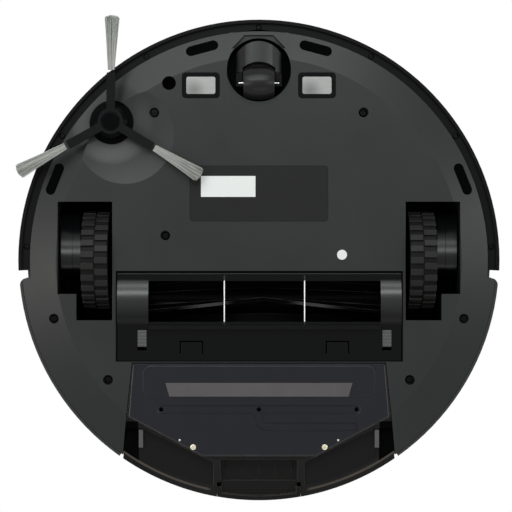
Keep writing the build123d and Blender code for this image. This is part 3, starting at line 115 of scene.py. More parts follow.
class VacuumSizes(bpy.types.PropertyGroup):
    """Sizes of the grown pieces and of the studio."""
    strands: IntProperty(name="Strands", description="Strands in one tuft", min=10, default=240)
    strand_r: length("Strand radius", "Radius of a strand at its root", 0.11 * MM)
    tuft_start: length("Tuft start", "Where the tufts leave the arms, from the hub's middle", 37.0 * MM)
    tuft_end: length("Tuft end", "Reach of the tufts from the hub's middle", 76.2 * MM)
    tuft_root: length("Tuft root", "Width of a tuft where it leaves its arm", 4.6 * MM)
    tuft_tip: length("Tuft tip", "Width of a tuft at its end", 9.6 * MM)
    lugs: IntProperty(name="Lugs", description="Blocks in one row of a tyre", min=6, default=26)
    lug_height: length("Lug height", "Height of a tyre's blocks", 2.0 * MM)
    tread_split: length("Tread split", "Gap between a tyre's two rows", 0.8 * MM)
    spring_wire: length("Spring wire", "Radius of a suspension spring's wire", 0.55 * MM)
    camera_height: length("Camera distance", "Distance from the camera to the widest part", 1.25)
    frame_width: length("Frame width", "Width that the photograph shows there", 372.6 * MM)


class Value:
    """A node's socket that takes part in plain sums."""

    def __init__(self, graph, socket):
        self.graph = graph
        self.socket = socket

    def maths(self, operation, *values):
        return self.graph.node("ShaderNodeMath", {"operation": operation}, dict(enumerate(values)))

    def __add__(self, other):
        return self.maths("ADD", self, other)

    def __radd__(self, other):
        return self.maths("ADD", other, self)

    def __sub__(self, other):
        return self.maths("SUBTRACT", self, other)

    def __rsub__(self, other):
        return self.maths("SUBTRACT", other, self)

    def __mul__(self, other):
        return self.maths("MULTIPLY", self, other)

    def __rmul__(self, other):
        return self.maths("MULTIPLY", other, self)

    def __truediv__(self, other):
        return self.maths("DIVIDE", self, other)

    def __pow__(self, other):
        return self.maths("POWER", self, other)

    def __mod__(self, other):
        return self.maths("FLOORED_MODULO", self, other)

    def __abs__(self):
        return self.maths("ABSOLUTE", self)

    def floor(self):
        return self.maths("FLOOR", self)

    def larger(self, other):
        return self.maths("MAXIMUM", self, other)

    def between(self, low, high):
        """0 at low, 1 at high, and smooth between them."""
        return self.graph.node("ShaderNodeMapRange", {"interpolation_type": "SMOOTHSTEP"},
                               {"Value": self, "From Min": low, "From Max": high})


class Graph:
    """A tree whose nodes are all made by one method."""

    def __init__(self, tree):
        self.tree = tree

    def node(self, kind, settings=None, inputs=None, output=0):
        """One output of a new node with its settings and inputs."""
        made = self.tree.nodes.new(kind)
        for key, value in (settings or {}).items():
            setattr(made, key, value)
        for key, value in (inputs or {}).items():
            self.feed(made.inputs[key], value)
        return Value(self, made.outputs[output])

    def feed(self, socket, value):
        """Link a socket, or set it where the value is a constant."""
        if isinstance(value, Value):
            self.tree.links.new(value.socket, socket)
        else:
            socket.default_value = value


class Finish(Graph):
    """One material."""

    def __init__(self, name, specular=0.5, **constants):
        self.material = bpy.data.materials.new(name)
        self.material.use_nodes = True
        super().__init__(self.material.node_tree)
        self.shader = self.tree.nodes["Principled BSDF"]
        self.set(Specular_IOR_Level=specular, **constants)
        self.coords = self.node("ShaderNodeTexCoord", output="Object")

    def set(self, **sockets):
        """Feed the shader's inputs."""
        for key, value in sockets.items():
            self.feed(self.shader.inputs[key.replace("_", " ")], value)

    def noise(self, size, detail=2.0, stretch=(1.0, 1.0, 1.0)):
        """Soft speckle whose features are about one size across."""
        place = self.coords
        if stretch != (1.0, 1.0, 1.0):
            place = self.node("ShaderNodeMapping", {}, {"Vector": self.coords, "Scale": stretch})
        return self.node("ShaderNodeTexNoise", {}, {"Vector": place, "Scale": 1 / size, "Detail": detail})

    def mix(self, share, first, second):
        """Blend of two colours."""
        made = self.node("ShaderNodeMix", {"data_type": "RGBA", "clamp_factor": True}, {0: share}, output=2)
        for key, shade in ((6, first), (7, second)):
            self.feed(made.socket.node.inputs[key], shade if isinstance(shade, Value) else (*shade, 1.0))
        return made

    def rounded(self, radius):
        """Normal with softened edges."""
        return self.node("ShaderNodeBevel", {"samples": 4}, {"Radius": radius})

    def edge_mask(self, soft):
        """How far a spot lies on a softened edge."""
        plain = self.node("ShaderNodeNewGeometry", output="Normal")
        facing = self.node("ShaderNodeVectorMath", {"operation": "DOT_PRODUCT"}, {0: soft, 1: plain},
                           output="Value")
        return (1 - facing).between(0.02, 0.3)

    def facing(self, name):
        """One part of the way a spot faces."""
        plain = self.node("ShaderNodeNewGeometry", output="Normal")
        return self.node("ShaderNodeSeparateXYZ", {}, {0: plain}, output=name)

    def slanted(self):
        """1 on facets that lean about 45 degrees, and 0 on level and upright faces."""
        lean = abs(self.facing("Z"))
        return lean.between(0.3, 0.5) * (1 - lean.between(0.85, 0.95))

    def bump(self, height, depth, normal=None):
        """Relief of one depth."""
        inputs = {"Height": height, "Distance": depth, "Strength": 1.0}
        if normal is not None:
            inputs["Normal"] = normal
        self.set(Normal=self.node("ShaderNodeBump", {}, inputs))

    def axis(self, name):
        """One coordinate of a spot on the piece."""
        return self.node("ShaderNodeSeparateXYZ", {}, {0: self.coords}, output=name)

    def away(self, centre):
        """Distance in plan from an upright line."""
        return ((self.axis("X") - centre.x) ** 2.0 + (self.axis("Y") - centre.y) ** 2.0) ** 0.5

    def within(self, low, high, soft=0.3 * MM):
        """1 inside a box in plan, and 0 outside it."""
        share = 1.0
        for name, start, end in (("X", low.x, high.x), ("Y", low.y, high.y)):
            spot = self.axis(name)
            before_end = 1 - spot.between(end - soft, end + soft)
            share = spot.between(start - soft, start + soft) * before_end * share
        return share

    def cover(self, share, shader):
        """Another shader that hides the finish where share is 1."""
        own = Value(self, self.shader.outputs[0])
        shown = self.node("ShaderNodeMixShader", {}, {0: share, 1: own, 2: shader})
        self.feed(self.tree.nodes["Material Output"].inputs[0], shown)

    def paint_shade(self, share):
        """Painted shade: matt black that hides the finish where share is 1."""
        self.cover(share, self.node("ShaderNodeBsdfPrincipled", {}, {
            "Base Color": (0.0012, 0.0012, 0.0013, 1.0), "Roughness": 0.6, "Specular IOR Level": 0.01}))


def scaled(shade, share):
    """A colour made lighter or darker."""
    return tuple(min(1.0, part * share) for part in shade)


def moulded(name, shade, gloss, depth, grain=0.3 * MM, dark=None, wear_and_highlight=1.6, relief=None, lacquer=None,
            **constants):
    """Moulded plastic with a fine grain, faint flow marks, edges lightened as wear and painted highlight, and
    painted shade of matt black in its depths.
    """
    finish = Finish(name, **constants)
    speckle = finish.noise(grain, 3.0)
    cloud = finish.noise(45 * MM, 2.0)
    scuff_and_glint = finish.noise(6 * MM, 4.0, (1.0, 0.25, 1.0))
    soft = finish.rounded(0.35 * MM)
    tone = finish.mix(speckle * 0.5 + cloud * 0.5, scaled(shade, 0.8), scaled(shade, 1.2))
    tone = finish.mix(finish.edge_mask(soft) * scuff_and_glint, tone, scaled(shade, wear_and_highlight))
    finish.set(Base_Color=tone, Roughness=gloss - 0.06 + 0.12 * cloud + 0.05 * (scuff_and_glint - 0.5))
    height = depth * speckle
    finish.bump(height + relief(finish) if relief else height, 1.0, soft)
    if lacquer:
        finish.set(Coat_Weight=lacquer(finish))
    if dark:
        finish.paint_shade(dark(finish) * (0.9 + 0.1 * cloud))
    return finish.material


def rubber(name, shade, gloss, wear_and_highlight=2.2, sheen=None, dark=None, **constants):
    """Soft rubber with a dull bloom and a fine skin, edges lightened as wear and painted highlight, and
    painted shade of matt black where a mask is given.
    """
    finish = Finish(name, **constants)
    skin = finish.noise(0.35 * MM, 2.0)
    bloom = finish.noise(9 * MM, 4.0)
    soft = finish.rounded(0.4 * MM)
    tone = finish.mix(bloom, scaled(shade, 0.75), scaled(shade, 1.3))
    finish.set(Base_Color=finish.mix(finish.edge_mask(soft) * bloom, tone, scaled(shade, wear_and_highlight)),
               Roughness=gloss - 0.08 + 0.16 * bloom)
    if sheen:
        finish.set(Coat_Weight=sheen(finish))
    finish.bump(skin, 0.02 * MM, soft)
    if dark:
        finish.paint_shade(dark(finish))
    return finish.material


def metal(name, shade, gloss, stretch=(1.0, 1.0, 1.0), dim_mask=None, dull=0.55):
    """Bare metal with drawn scratches along one direction, and places that a mask makes darker, which on
    round steel is painted shade.
    """
    finish = Finish(name, Metallic=1.0)
    scratch = finish.noise(0.25 * MM, 3.0, stretch)
    cloud = finish.noise(8 * MM, 2.0)
    tone = finish.mix(0.6 * scratch + 0.4 * cloud, scaled(shade, 0.82), scaled(shade, 1.1))
    # Where dim_mask is 1 the metal is darker: on the steel this is painted shade and painted reflection.
    if dim_mask:
        tone = finish.mix(dim_mask(finish), tone, scaled(shade, dull))
    finish.set(Base_Color=tone, Roughness=gloss - 0.06 + 0.14 * scratch)
    finish.bump(scratch, 0.003 * MM, finish.rounded(0.2 * MM))
    return finish.material


def glossy(name, shade, gloss, edge=None, edge_r=0.3 * MM, dark=None, lit=None, **constants):
    """Polished plastic with faint swirls and fingerprints, a painted highlight on its edges, and painted
    shade of matt black where a mask is given.
    """
    finish = Finish(name, **constants)
    swirl = finish.noise(14 * MM, 5.0)
    hair = finish.noise(0.6 * MM, 2.0, (1.0, 0.05, 1.0))
    soft = finish.rounded(edge_r)
    edge_mask = finish.edge_mask(soft)
    if lit:
        edge_mask = lit(finish, edge_mask)
    tone = finish.mix(swirl, scaled(shade, 0.85), scaled(shade, 1.15))
    # Edges take the edge colour: a painted highlight.
    finish.set(Base_Color=finish.mix(edge_mask * (0.6 + 0.4 * swirl), tone, edge or scaled(shade, 1.8)),
               Roughness=gloss + 0.08 * swirl + 0.04 * hair)
    finish.bump(hair, 0.001 * MM, soft)
    if dark:
        finish.paint_shade(dark(finish))
    return finish.material


def paper(name, shade):
    """Coated white paper."""
    finish = Finish(name, specular=0.3)
    fibre = finish.noise(0.5 * MM, 4.0)
    finish.set(Base_Color=finish.mix(fibre, scaled(shade, 0.97), scaled(shade, 1.02)),
               Roughness=0.5 + 0.1 * fibre)
    finish.bump(fibre, 0.004 * MM)
    return finish.material


def nylon(name, shade):
    """Nylon strands, each with its own tone."""
    finish = Finish(name, specular=0.45)
    tone = finish.node("ShaderNodeAttribute", {"attribute_name": "strand_tone"}, output="Fac")
    dust = finish.noise(5 * MM, 3.0)
    share = 0.7 * tone + 0.3 * dust
    finish.set(Base_Color=finish.mix(share, scaled(shade, 0.62), scaled(shade, 1.3)),
               Roughness=0.38 + 0.2 * dust)
    finish.bump(finish.noise(0.08 * MM, 1.0, (1.0, 1.0, 0.1)), 0.004 * MM)
    return finish.material


def circuit(name):
    """Green lacquered board with copper runs under the lacquer."""
    finish = Finish(name)
    runs = finish.node("ShaderNodeTexBrick", {"offset": 0.5},
                       {"Vector": finish.coords, "Scale": 90.0, "Mortar Size": 0.06}, output="Fac")
    finish.set(Base_Color=finish.mix(runs, (0.008, 0.045, 0.02), (0.02, 0.09, 0.04)),
               Roughness=0.3 + 0.15 * runs)
    finish.bump(runs, 0.02 * MM, finish.rounded(0.2 * MM))
    return finish.material


def pleated(name, shade):
    """Filter paper folded into fine pleats."""
    finish = Finish(name, specular=0.2)
    fold = abs((finish.axis("X") / (1.5 * MM)) % 1.0 - 0.5) * 2.0
    fibre = finish.noise(0.4 * MM, 4.0)
    # The pleats' valleys are painted darker: painted shade.
    finish.set(Base_Color=finish.mix(fold * 0.8 + fibre * 0.2, scaled(shade, 0.55), shade),
               Roughness=0.8 + 0.1 * fibre)
    finish.bump(fold, 0.6 * MM)
    return finish.material


def base_painted_shade(finish):
    """Painted shade where the underside is black: round the side hub, in the caster's and the wheels' wells
    and round the brush guard.
    """
    height = finish.axis("Z")
    deep = height.between(PLATE_Z + 0.3 * MM, PLATE_Z + 1.0 * MM)
    hub = deep * (1 - finish.away(middle("side_hub")).between(HUB_RING_R - 0.5 * MM, HUB_RING_R + 0.5 * MM))
    swivel = Vector((0.0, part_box("caster_fork")[0].y + FORK_R, 0.0))
    well = deep * (1 - finish.away(swivel).between(WELL_R, WELL_R + 0.3 * MM))
    low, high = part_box("guard_frame")
    border = Vector((1.3 * MM, 0.6 * MM, 0.0))
    black = hub.larger(well).larger(finish.within(low - border, high + border))
    sunk = height.between(PLATE_Z + 3.0 * MM, PLATE_Z + 5.0 * MM)
    room = Vector((1.0 * MM, 12.0 * MM, 0.0))
    for hand in ("left", "right"):
        boxes = [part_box(f"{hand}_{piece}") for piece in ("tyre", "gearbox")]
        low, high = (Vector(map(choose, *corners)) for choose, corners in zip((min, max), zip(*boxes)))
        black = black.larger(sunk * finish.within(low - room, high + room))
    return black


def hub_dish(finish):
    """Relief of the dish that sinks towards the side hub."""
    return DISH_DEPTH * finish.away(middle("side_hub")).between(HUB_RING_R - 1.0 * MM, DISH_R)


def cap_lacquer(finish):
    """Gloss on the guard's end caps, which stand out below its plate, fading towards their rear."""
    caps = 1 - finish.axis("Z").between(PLATE_Z - 0.5 * MM, PLATE_Z)
    return 0.5 * caps * (1 - finish.axis("Y").between(CAP_FADE_START, CAP_FADE_END))


def rim_painted_highlight(finish, edge_mask):
    """Painted highlight on the bin's edges, and a thin painted highlight line where its scoops end at the
    rear rim.
    """
    radius = finish.away(CENTRE)
    out = abs(finish.axis("X"))
    line = radius.between(SCOOP_R - 0.6 * MM, SCOOP_R - 0.1 * MM)
    line = line * (1 - radius.between(SCOOP_R + 1.0 * MM, SCOOP_R + 1.6 * MM))
    line = line * out.between(SCOOP_IN, SCOOP_IN + 4.0 * MM)
    line = line * (1 - finish.axis("Z").between(HOLLOW_ROOF, HOLLOW_ROOF + 2.0 * MM))
    return edge_mask.larger(0.6 * line)


def channel_area(finish):
    """1 where the tank's panel holds its water channel."""
    behind = finish.axis("Y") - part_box("tank_panel")[0].y
    across = 1 - abs(finish.axis("X")).between(CHANNEL_HALF, CHANNEL_HALF + 1.0 * MM)
    start = behind.between(CHANNEL_START, CHANNEL_START + 0.5 * MM)
    return across * start * (1 - behind.between(CHANNEL_END, CHANNEL_END + 0.5 * MM))


def panel_painted_highlight(finish, edge_mask):
    """Painted highlight on the tank panel's edges: all but the front one and the channel's."""
    past_front = (finish.axis("Y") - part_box("tank_panel")[0].y).between(0.8 * MM, 1.2 * MM)
    return edge_mask.larger(finish.slanted()) * past_front * (1 - channel_area(finish))


def panel_painted_shade(finish):
    """Painted shade on the tank's panel: dark along its water channel."""
    return 0.75 * finish.edge_mask(finish.rounded(0.6 * MM)) * channel_area(finish)


def contact_dark_patch(finish):
    """Darker patch at one corner of each charging plate."""
    corner = Vector((-5.0 * MM, 3.6 * MM, 0.0))
    patches = [1 - finish.away((low + high) / 2 + corner).between(0.0, PATCH_R)
               for low, high in clusters("charge_contacts", 30 * MM)]
    return patches[0].larger(patches[1])


def wire_shade(finish):
    """Painted reflection and shade on round steel: its sides painted dark as if mirroring the dark around it,
    and the ends of the guard's wires painted dark where they run under the frame.
    """
    low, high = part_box("guard_wires")
    spot = finish.axis("Y")
    front_end, rear_end = low.y + 4.0 * MM, high.y - 2.4 * MM
    front = spot.between(low.y - 1.0 * MM, low.y) * (1 - spot.between(front_end - 0.6 * MM, front_end))
    ends = front.larger(spot.between(rear_end, rear_end + 0.6 * MM))
    ends = ends * (1 - abs(finish.axis("X")).between(high.x, high.x + 1.0 * MM))
    return ends.larger(1 - abs(finish.facing("Z")).between(0.7, 0.95))


def roller_sheen(finish):
    """Soft streak along the main brush's lowest line, on either side of its middle."""
    out = abs(finish.axis("X"))
    start, full, fade, end = 14.0 * MM, 30.0 * MM, 46.0 * MM, 78.0 * MM
    streak = out.between(start, full) * (1 - out.between(fade, end))
    behind = finish.axis("Y") - middle("brush_rubber").y - 2.0 * MM
    low = 1 - abs(behind).between(3.0 * MM, 4.5 * MM)
    return streak * low * (1 - abs(finish.facing("Y") - 0.13).between(0.02, 0.15))


def tread_painted_shade(finish):
    """Painted shade: where the tyres are darker, between their blocks."""
    low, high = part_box("left_tyre")
    outer, centre = (high.z - low.z) / 2, (low + high) / 2
    radius = ((finish.axis("Y") - centre.y) ** 2.0 + (finish.axis("Z") - centre.z) ** 2.0) ** 0.5
    return 0.5 * (1 - radius.between(outer - 1.8 * MM, outer - 0.5 * MM))


def gear_crown(finish):
    """Relief of a gearbox cover that is round along the body's length."""
    offset = finish.axis("Y") - CROWN_Y
    return offset * offset * (-0.5 / CROWN_R)


def fork_painted_shade(finish):
    """Painted shade where the caster fork is darker: its flanks, and most of all its cheeks beside the wheel.
    """
    low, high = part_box("caster_wheel")
    out = abs(finish.axis("X"))
    flank = 0.5 * out.between(9.2 * MM, 10.4 * MM)
    cheek = out.between(high.x, high.x + 0.4 * MM)
    cheek = cheek * finish.axis("Y").between(low.y + 3.0 * MM, low.y + 4.5 * MM)
    return flank.larger(0.85 * cheek)


def bin_painted_shade(finish):
    """Painted shade where the dust bin is black: the corners of its scoops outside the grey tabs."""
    low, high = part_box("bin_tabs")
    corner = (abs(finish.axis("X")) - high.x).between(0.1 * MM, 0.5 * MM)
    behind = finish.axis("Y").between(low.y - 6.5 * MM, low.y - 6.0 * MM)
    inside = 1 - finish.away(CENTRE).between(SCOOP_R - 0.4 * MM, SCOOP_R)
    return corner * behind * inside * (1 - finish.axis("Z").between(WAIST_Z, WAIST_Z + 1.0 * MM))


def finishes(colours):
    """All finishes by name."""
    shades = {key: tuple(getattr(colours, key)) for key in VacuumColours.__annotations__}
    black = scaled(shades["guard"], 0.6)
    steel = shades["steel"]
    return {
        "base": moulded("base_black", shades["base"], gloss=0.36, grain=0.45 * MM, depth=0.010 * MM,
                        dark=base_painted_shade, relief=hub_dish, specular=0.27),
        "shell": moulded("shell_black", shades["shell"], gloss=0.3, depth=0.004 * MM, specular=0.065),
        "cover": moulded("cover_black", shades["cover"], gloss=0.34, depth=0.005 * MM, specular=0.35),
        # The bin's edge colour is a painted highlight.
        "bin": glossy("bin_black", shades["bin"], gloss=0.2, edge=(0.15, 0.125, 0.105), edge_r=0.6 * MM,
                      dark=bin_painted_shade, lit=rim_painted_highlight, specular=0.11),
        # The guard's strong edge lightening is a painted highlight on its edges.
        "guard": moulded("guard_black", shades["guard"], gloss=0.15, depth=0.001 * MM, wear_and_highlight=18.0,
                         lacquer=cap_lacquer, Coat_Roughness=0.28, specular=0.09),
        "gear": moulded("gear_black", shades["guard"], gloss=0.21, depth=0.0005 * MM, relief=gear_crown,
                        specular=0.2),
        "inside": moulded("inside_black", black, gloss=0.4, depth=0.004 * MM, specular=0.005),
        "window": glossy("window_black", black, gloss=0.15, specular=0.012),
        # The tank's edge colour is a painted highlight.
        "smoke": glossy("smoke", shades["smoke"], gloss=0.26, edge=(0.16, 0.155, 0.165), edge_r=0.4 * MM,
                        dark=panel_painted_shade, lit=panel_painted_highlight, specular=0.2),
        "strip": glossy("strip_grey", shades["strip"], gloss=0.45, specular=0.2),
        "rubber": rubber("rubber_black", shades["rubber"], gloss=0.5, specular=0.05),
        # The blade's rubber is painted 0.18 times as dark as the other rubber, as painted shade inside the
        # brush's mouth; its strong edge lightening is a painted highlight.
        "blade": rubber("blade_black", scaled(shades["rubber"], 0.18), gloss=0.3, wear_and_highlight=140.0,
                        sheen=roller_sheen, Coat_Roughness=0.2, specular=0.005),
        "tyre": rubber("tyre_black", shades["tyre"], gloss=0.45, wear_and_highlight=5.0, dark=tread_painted_shade,
                       specular=0.12),
        "hub": moulded("hub_black", shades["guard"], gloss=0.22, depth=0.002 * MM, specular=0.025),
        "fork": moulded("fork_black", scaled(shades["base"], 0.55), gloss=0.3, depth=0.003 * MM,
                        dark=fork_painted_shade, wear_and_highlight=6.0, specular=0.38),
        "wheel": glossy("caster_black", shades["bin"], gloss=0.25, specular=0.2),
        "steel": metal("steel", steel, gloss=0.25, stretch=(0.03, 1.0, 1.0), dim_mask=wire_shade, dull=0.05),
        "contact": metal("contact_steel", scaled(steel, 0.48), gloss=0.3, stretch=(0.04, 1.0, 1.0),
                         dim_mask=contact_dark_patch),
        "screw": metal("screw_steel", scaled(steel, 0.015), gloss=0.4),
        "brass": metal("screw_brass", shades["brass"], gloss=0.3),
        "label": moulded("label_black", shades["label"], gloss=0.42, grain=1.2 * MM, depth=0.002 * MM,
                         specular=0.12),
        "paper": paper("sticker_white", shades["paper"]),
        "bristle": nylon("bristle_grey", shades["bristle"]),
        "tab": moulded("tab_grey", shades["tab"], gloss=0.4, grain=0.4 * MM, depth=0.006 * MM,
                       specular=0.25),
        "motor": metal("motor_steel", scaled(steel, 0.6), gloss=0.38, stretch=(1.0, 0.05, 0.05)),
        "cell": glossy("battery_case", (0.02, 0.035, 0.08), gloss=0.3, specular=0.45),
        "board": circuit("board_green"),
        "filter": pleated("filter_white", shades["paper"]),
        "part": moulded("part_grey", (0.06, 0.06, 0.06), gloss=0.45, grain=0.4 * MM, depth=0.01 * MM,
                        specular=0.4),
    }


COATS = {
    "base": ("chassis_base",),
    "shell": ("bumper_shell",),
    "cover": ("top_cover", "turret_housing", "power_key", "home_key", "turret_rotor"),
    "window": ("bumper_window", "cliff_windows"),
    "bin": ("bin_body", "bin_lid", "bin_button"),
    "guard": ("guard_frame", "contact_bezels"),
    "gear": ("left_gearbox", "right_gearbox"),
    "inside": ("brush_chamber",),
    "smoke": ("tank_panel",),
    "strip": ("tank_strip",),
    "rubber": ("guard_squeegee", "bin_seal", "side_arms_rubber"),
    "blade": ("brush_rubber",),
    "tyre": ("left_tyre", "right_tyre"),
    "hub": ("left_hub", "right_hub", "side_hub"),
    "fork": ("caster_fork",),
    "wheel": ("caster_wheel",),
    "steel": ("left_axle", "right_axle", "caster_axle", "guard_wires"),
    "contact": ("charge_contacts",),
    "screw": ("base_screws", "bumper_screws", "pivot_pins", "suspension_springs"),
    "brass": ("tank_screws",),
    "label": ("rating_label",),
    "paper": ("white_stickers",),
    "bristle": ("side_bristles",),
    "tab": ("left_guard_latch", "right_guard_latch", "bin_tabs"),
    "motor": ("brush_motor", "side_motor", "left_drive_motor", "right_drive_motor"),
    "cell": ("battery_pack",),
    "board": ("main_board",),
    "filter": ("bin_filter",),
    "part": ("brush_core", "brush_pinion", "brush_bearing", "fan_housing", "fan_impeller", "bump_switches"),
}


MADE = {}


class Growth(Graph):
    """A geometry tree with named inputs for its sizes."""

    def __init__(self, name, **sizes):
        super().__init__(bpy.data.node_groups.new(name, "GeometryNodeTree"))
        self.sizes = sizes
        self.tree.interface.new_socket("Geometry", in_out="INPUT", socket_type="NodeSocketGeometry")
        for label, value in sizes.items():
            kind = "NodeSocketInt" if isinstance(value, int) else "NodeSocketFloat"
            kind = "NodeSocketObject" if isinstance(value, bpy.types.Object) else kind
            self.tree.interface.new_socket(label, in_out="INPUT", socket_type=kind)
        self.tree.interface.new_socket("Geometry", in_out="OUTPUT", socket_type="NodeSocketGeometry")
        self.entry = self.tree.nodes.new("NodeGroupInput")
        self.start = Value(self, self.entry.outputs[0])

    def size(self, label):
        """One of the named inputs."""
        return Value(self, self.entry.outputs[label])

    def shape(self, label):
        """The mesh of an object among the named inputs."""
        return self.node("GeometryNodeObjectInfo", {}, {"Object": self.size(label)}, output="Geometry")

    def copies(self, points, form, **more):
        """The form at each point."""
        return self.node("GeometryNodeInstanceOnPoints", {}, {"Points": points, "Instance": form, **more})

    def grow(self, name, shape, material, start=None):
        """A plain mesh object from the finished tree."""
        whole = self.node("GeometryNodeRealizeInstances", {}, {"Geometry": shape})
        dressed = self.node("GeometryNodeSetMaterial", {}, {"Geometry": whole, "Material": material})
        self.feed(self.tree.nodes.new("NodeGroupOutput").inputs[0], dressed)
        piece = bpy.data.objects.new(name, start or bpy.data.meshes.new(name))
        bpy.context.scene.collection.objects.link(piece)
        tool = piece.modifiers.new(name, "NODES")
        tool.node_group = self.tree
        for item in self.tree.interface.items_tree:
            if item.in_out == "INPUT" and item.name in self.sizes:
                tool[item.identifier] = self.sizes[item.name]
        depsgraph = bpy.context.evaluated_depsgraph_get()
        mesh = bpy.data.meshes.new_from_object(piece.evaluated_get(depsgraph))
        piece.modifiers.remove(tool)
        piece.data = mesh
        return piece


def as_mesh(name, bm):
    """A finished bmesh as a mesh, with its faces outward."""
    bmesh.ops.recalc_face_normals(bm, faces=bm.faces)
    mesh = bpy.data.meshes.new(name)
    bm.to_mesh(mesh)
    bm.free()
    return mesh


def spots(name, places):
    """A mesh of single points."""
    mesh = bpy.data.meshes.new(name)
    mesh.from_pydata(places, [], [])
    return mesh


def clusters(node, reach):
    """Boxes of a CAD piece's separate solids, told apart by how far they lie from each other in plan."""
    found = []
    for vertex in NODES[node].data.vertices:
        spot = vertex.co
        for group in found:
            if abs(spot.x - group[0].x) < reach and abs(spot.y - group[0].y) < reach:
                group.append(spot)
                break
        else:
            found.append([spot])
    return [(Vector(map(min, zip(*group))), Vector(map(max, zip(*group)))) for group in found]


def lathe(bm, profile, axis, centre, steps):
    """Closed round body from a profile of (along, radius) points about an axis through a centre."""
    first = Vector((0, 0, 1)) if axis.x else Vector((1, 0, 0))
    second = axis.cross(first)
    rings = []
    for along, radius in profile:
        ring = []
        for step in range(steps):
            turn = 2 * math.pi * step / steps
            ring.append(bm.verts.new(centre + axis * along + first * radius * math.cos(turn)
                                     + second * radius * math.sin(turn)))
        rings.append(ring)
    for here, after in zip(rings, rings[1:] + rings[:1]):
        for step in range(steps):
            following = (step + 1) % steps
            bm.faces.new((here[step], here[following], after[following], after[step]))


def block(bm, low, high, bevel, taper=1.0):
    """Block with softened edges, its +Y end drawn in by taper."""
    made = bmesh.ops.create_cube(bm, size=1.0)["verts"]
    for vertex in made:
        share = [(part + 0.5) for part in vertex.co]
        place = [a + (b - a) * part for a, b, part in zip(low, high, share)]
        if share[1] > 0.5:
            middle_z = (low[2] + high[2]) / 2
            place[2] = middle_z + (place[2] - middle_z) * taper
        vertex.co = place
    edges = {edge for vertex in made for edge in vertex.link_edges}
    bmesh.ops.bevel(bm, geom=list(edges), offset=bevel, segments=2, affect="EDGES", profile=0.6)


class Hidden:
    """A shape that only serves another one, and is gone afterwards."""

    def __init__(self, name, bm):
        self.mesh = as_mesh(name, bm)
        self.piece = bpy.data.objects.new(name, self.mesh)

    def __enter__(self):
        return self.piece

    def __exit__(self, *rest):
        bpy.data.objects.remove(self.piece)
        bpy.data.meshes.remove(self.mesh)


def cross_head(size):
    """A screw with its domed head down and a cross recess cut into it."""
    head, tall = size.x / 2, size.z
    rise = min(0.55 * head, 0.4 * tall)
    bm = bmesh.new()
    lathe(bm, ((tall, 0.0), (tall, 0.38 * head), (rise, 0.5 * head), (rise, 0.97 * head), (0.5 * rise, head),
               (0.12 * rise, 0.8 * head), (0.0, 0.45 * head), (0.0, 0.0)), UP, CENTRE, 24)
    bmesh.ops.remove_doubles(bm, verts=bm.verts, dist=WELD)
    whole = bpy.data.objects.new("screw_body", as_mesh("screw_body", bm))
    bpy.context.scene.collection.objects.link(whole)
    bm = bmesh.new()
    wing, slot, proud = 0.62 * head, 0.13 * head, 0.2 * MM
    for across, along in ((wing, slot), (slot, wing)):
        block(bm, (-across, -along, -proud), (across, along, 0.6 * rise), 0.02 * MM)
    with Hidden("cross_recess", bm) as cross:
        bpy.context.scene.collection.objects.link(cross)
        cut = whole.modifiers.new("cross", "BOOLEAN")
        cut.operation = "DIFFERENCE"
        cut.solver = "EXACT"
        cut.use_self = True
        cut.object = cross
        view = bpy.context.evaluated_depsgraph_get()
        shape = bpy.data.meshes.new_from_object(whole.evaluated_get(view))
    bpy.data.objects.remove(whole)
    bm = bmesh.new()
    bm.from_mesh(shape)
    bpy.data.meshes.remove(shape)
    return bm


class VACUUM_OT_parts(bpy.types.Operator):
    """Give every machined and moulded part its finish"""
    bl_idname = "vacuum.parts"
    bl_label = "Finish parts"

    def execute(self, context):
        MADE.update(finishes(context.scene.vacuum_colours))
        for name, nodes in COATS.items():
            for node in nodes:
                mesh = NODES[node].data
                mesh.materials.clear()
                mesh.materials.append(MADE[name])
        return {"FINISHED"}


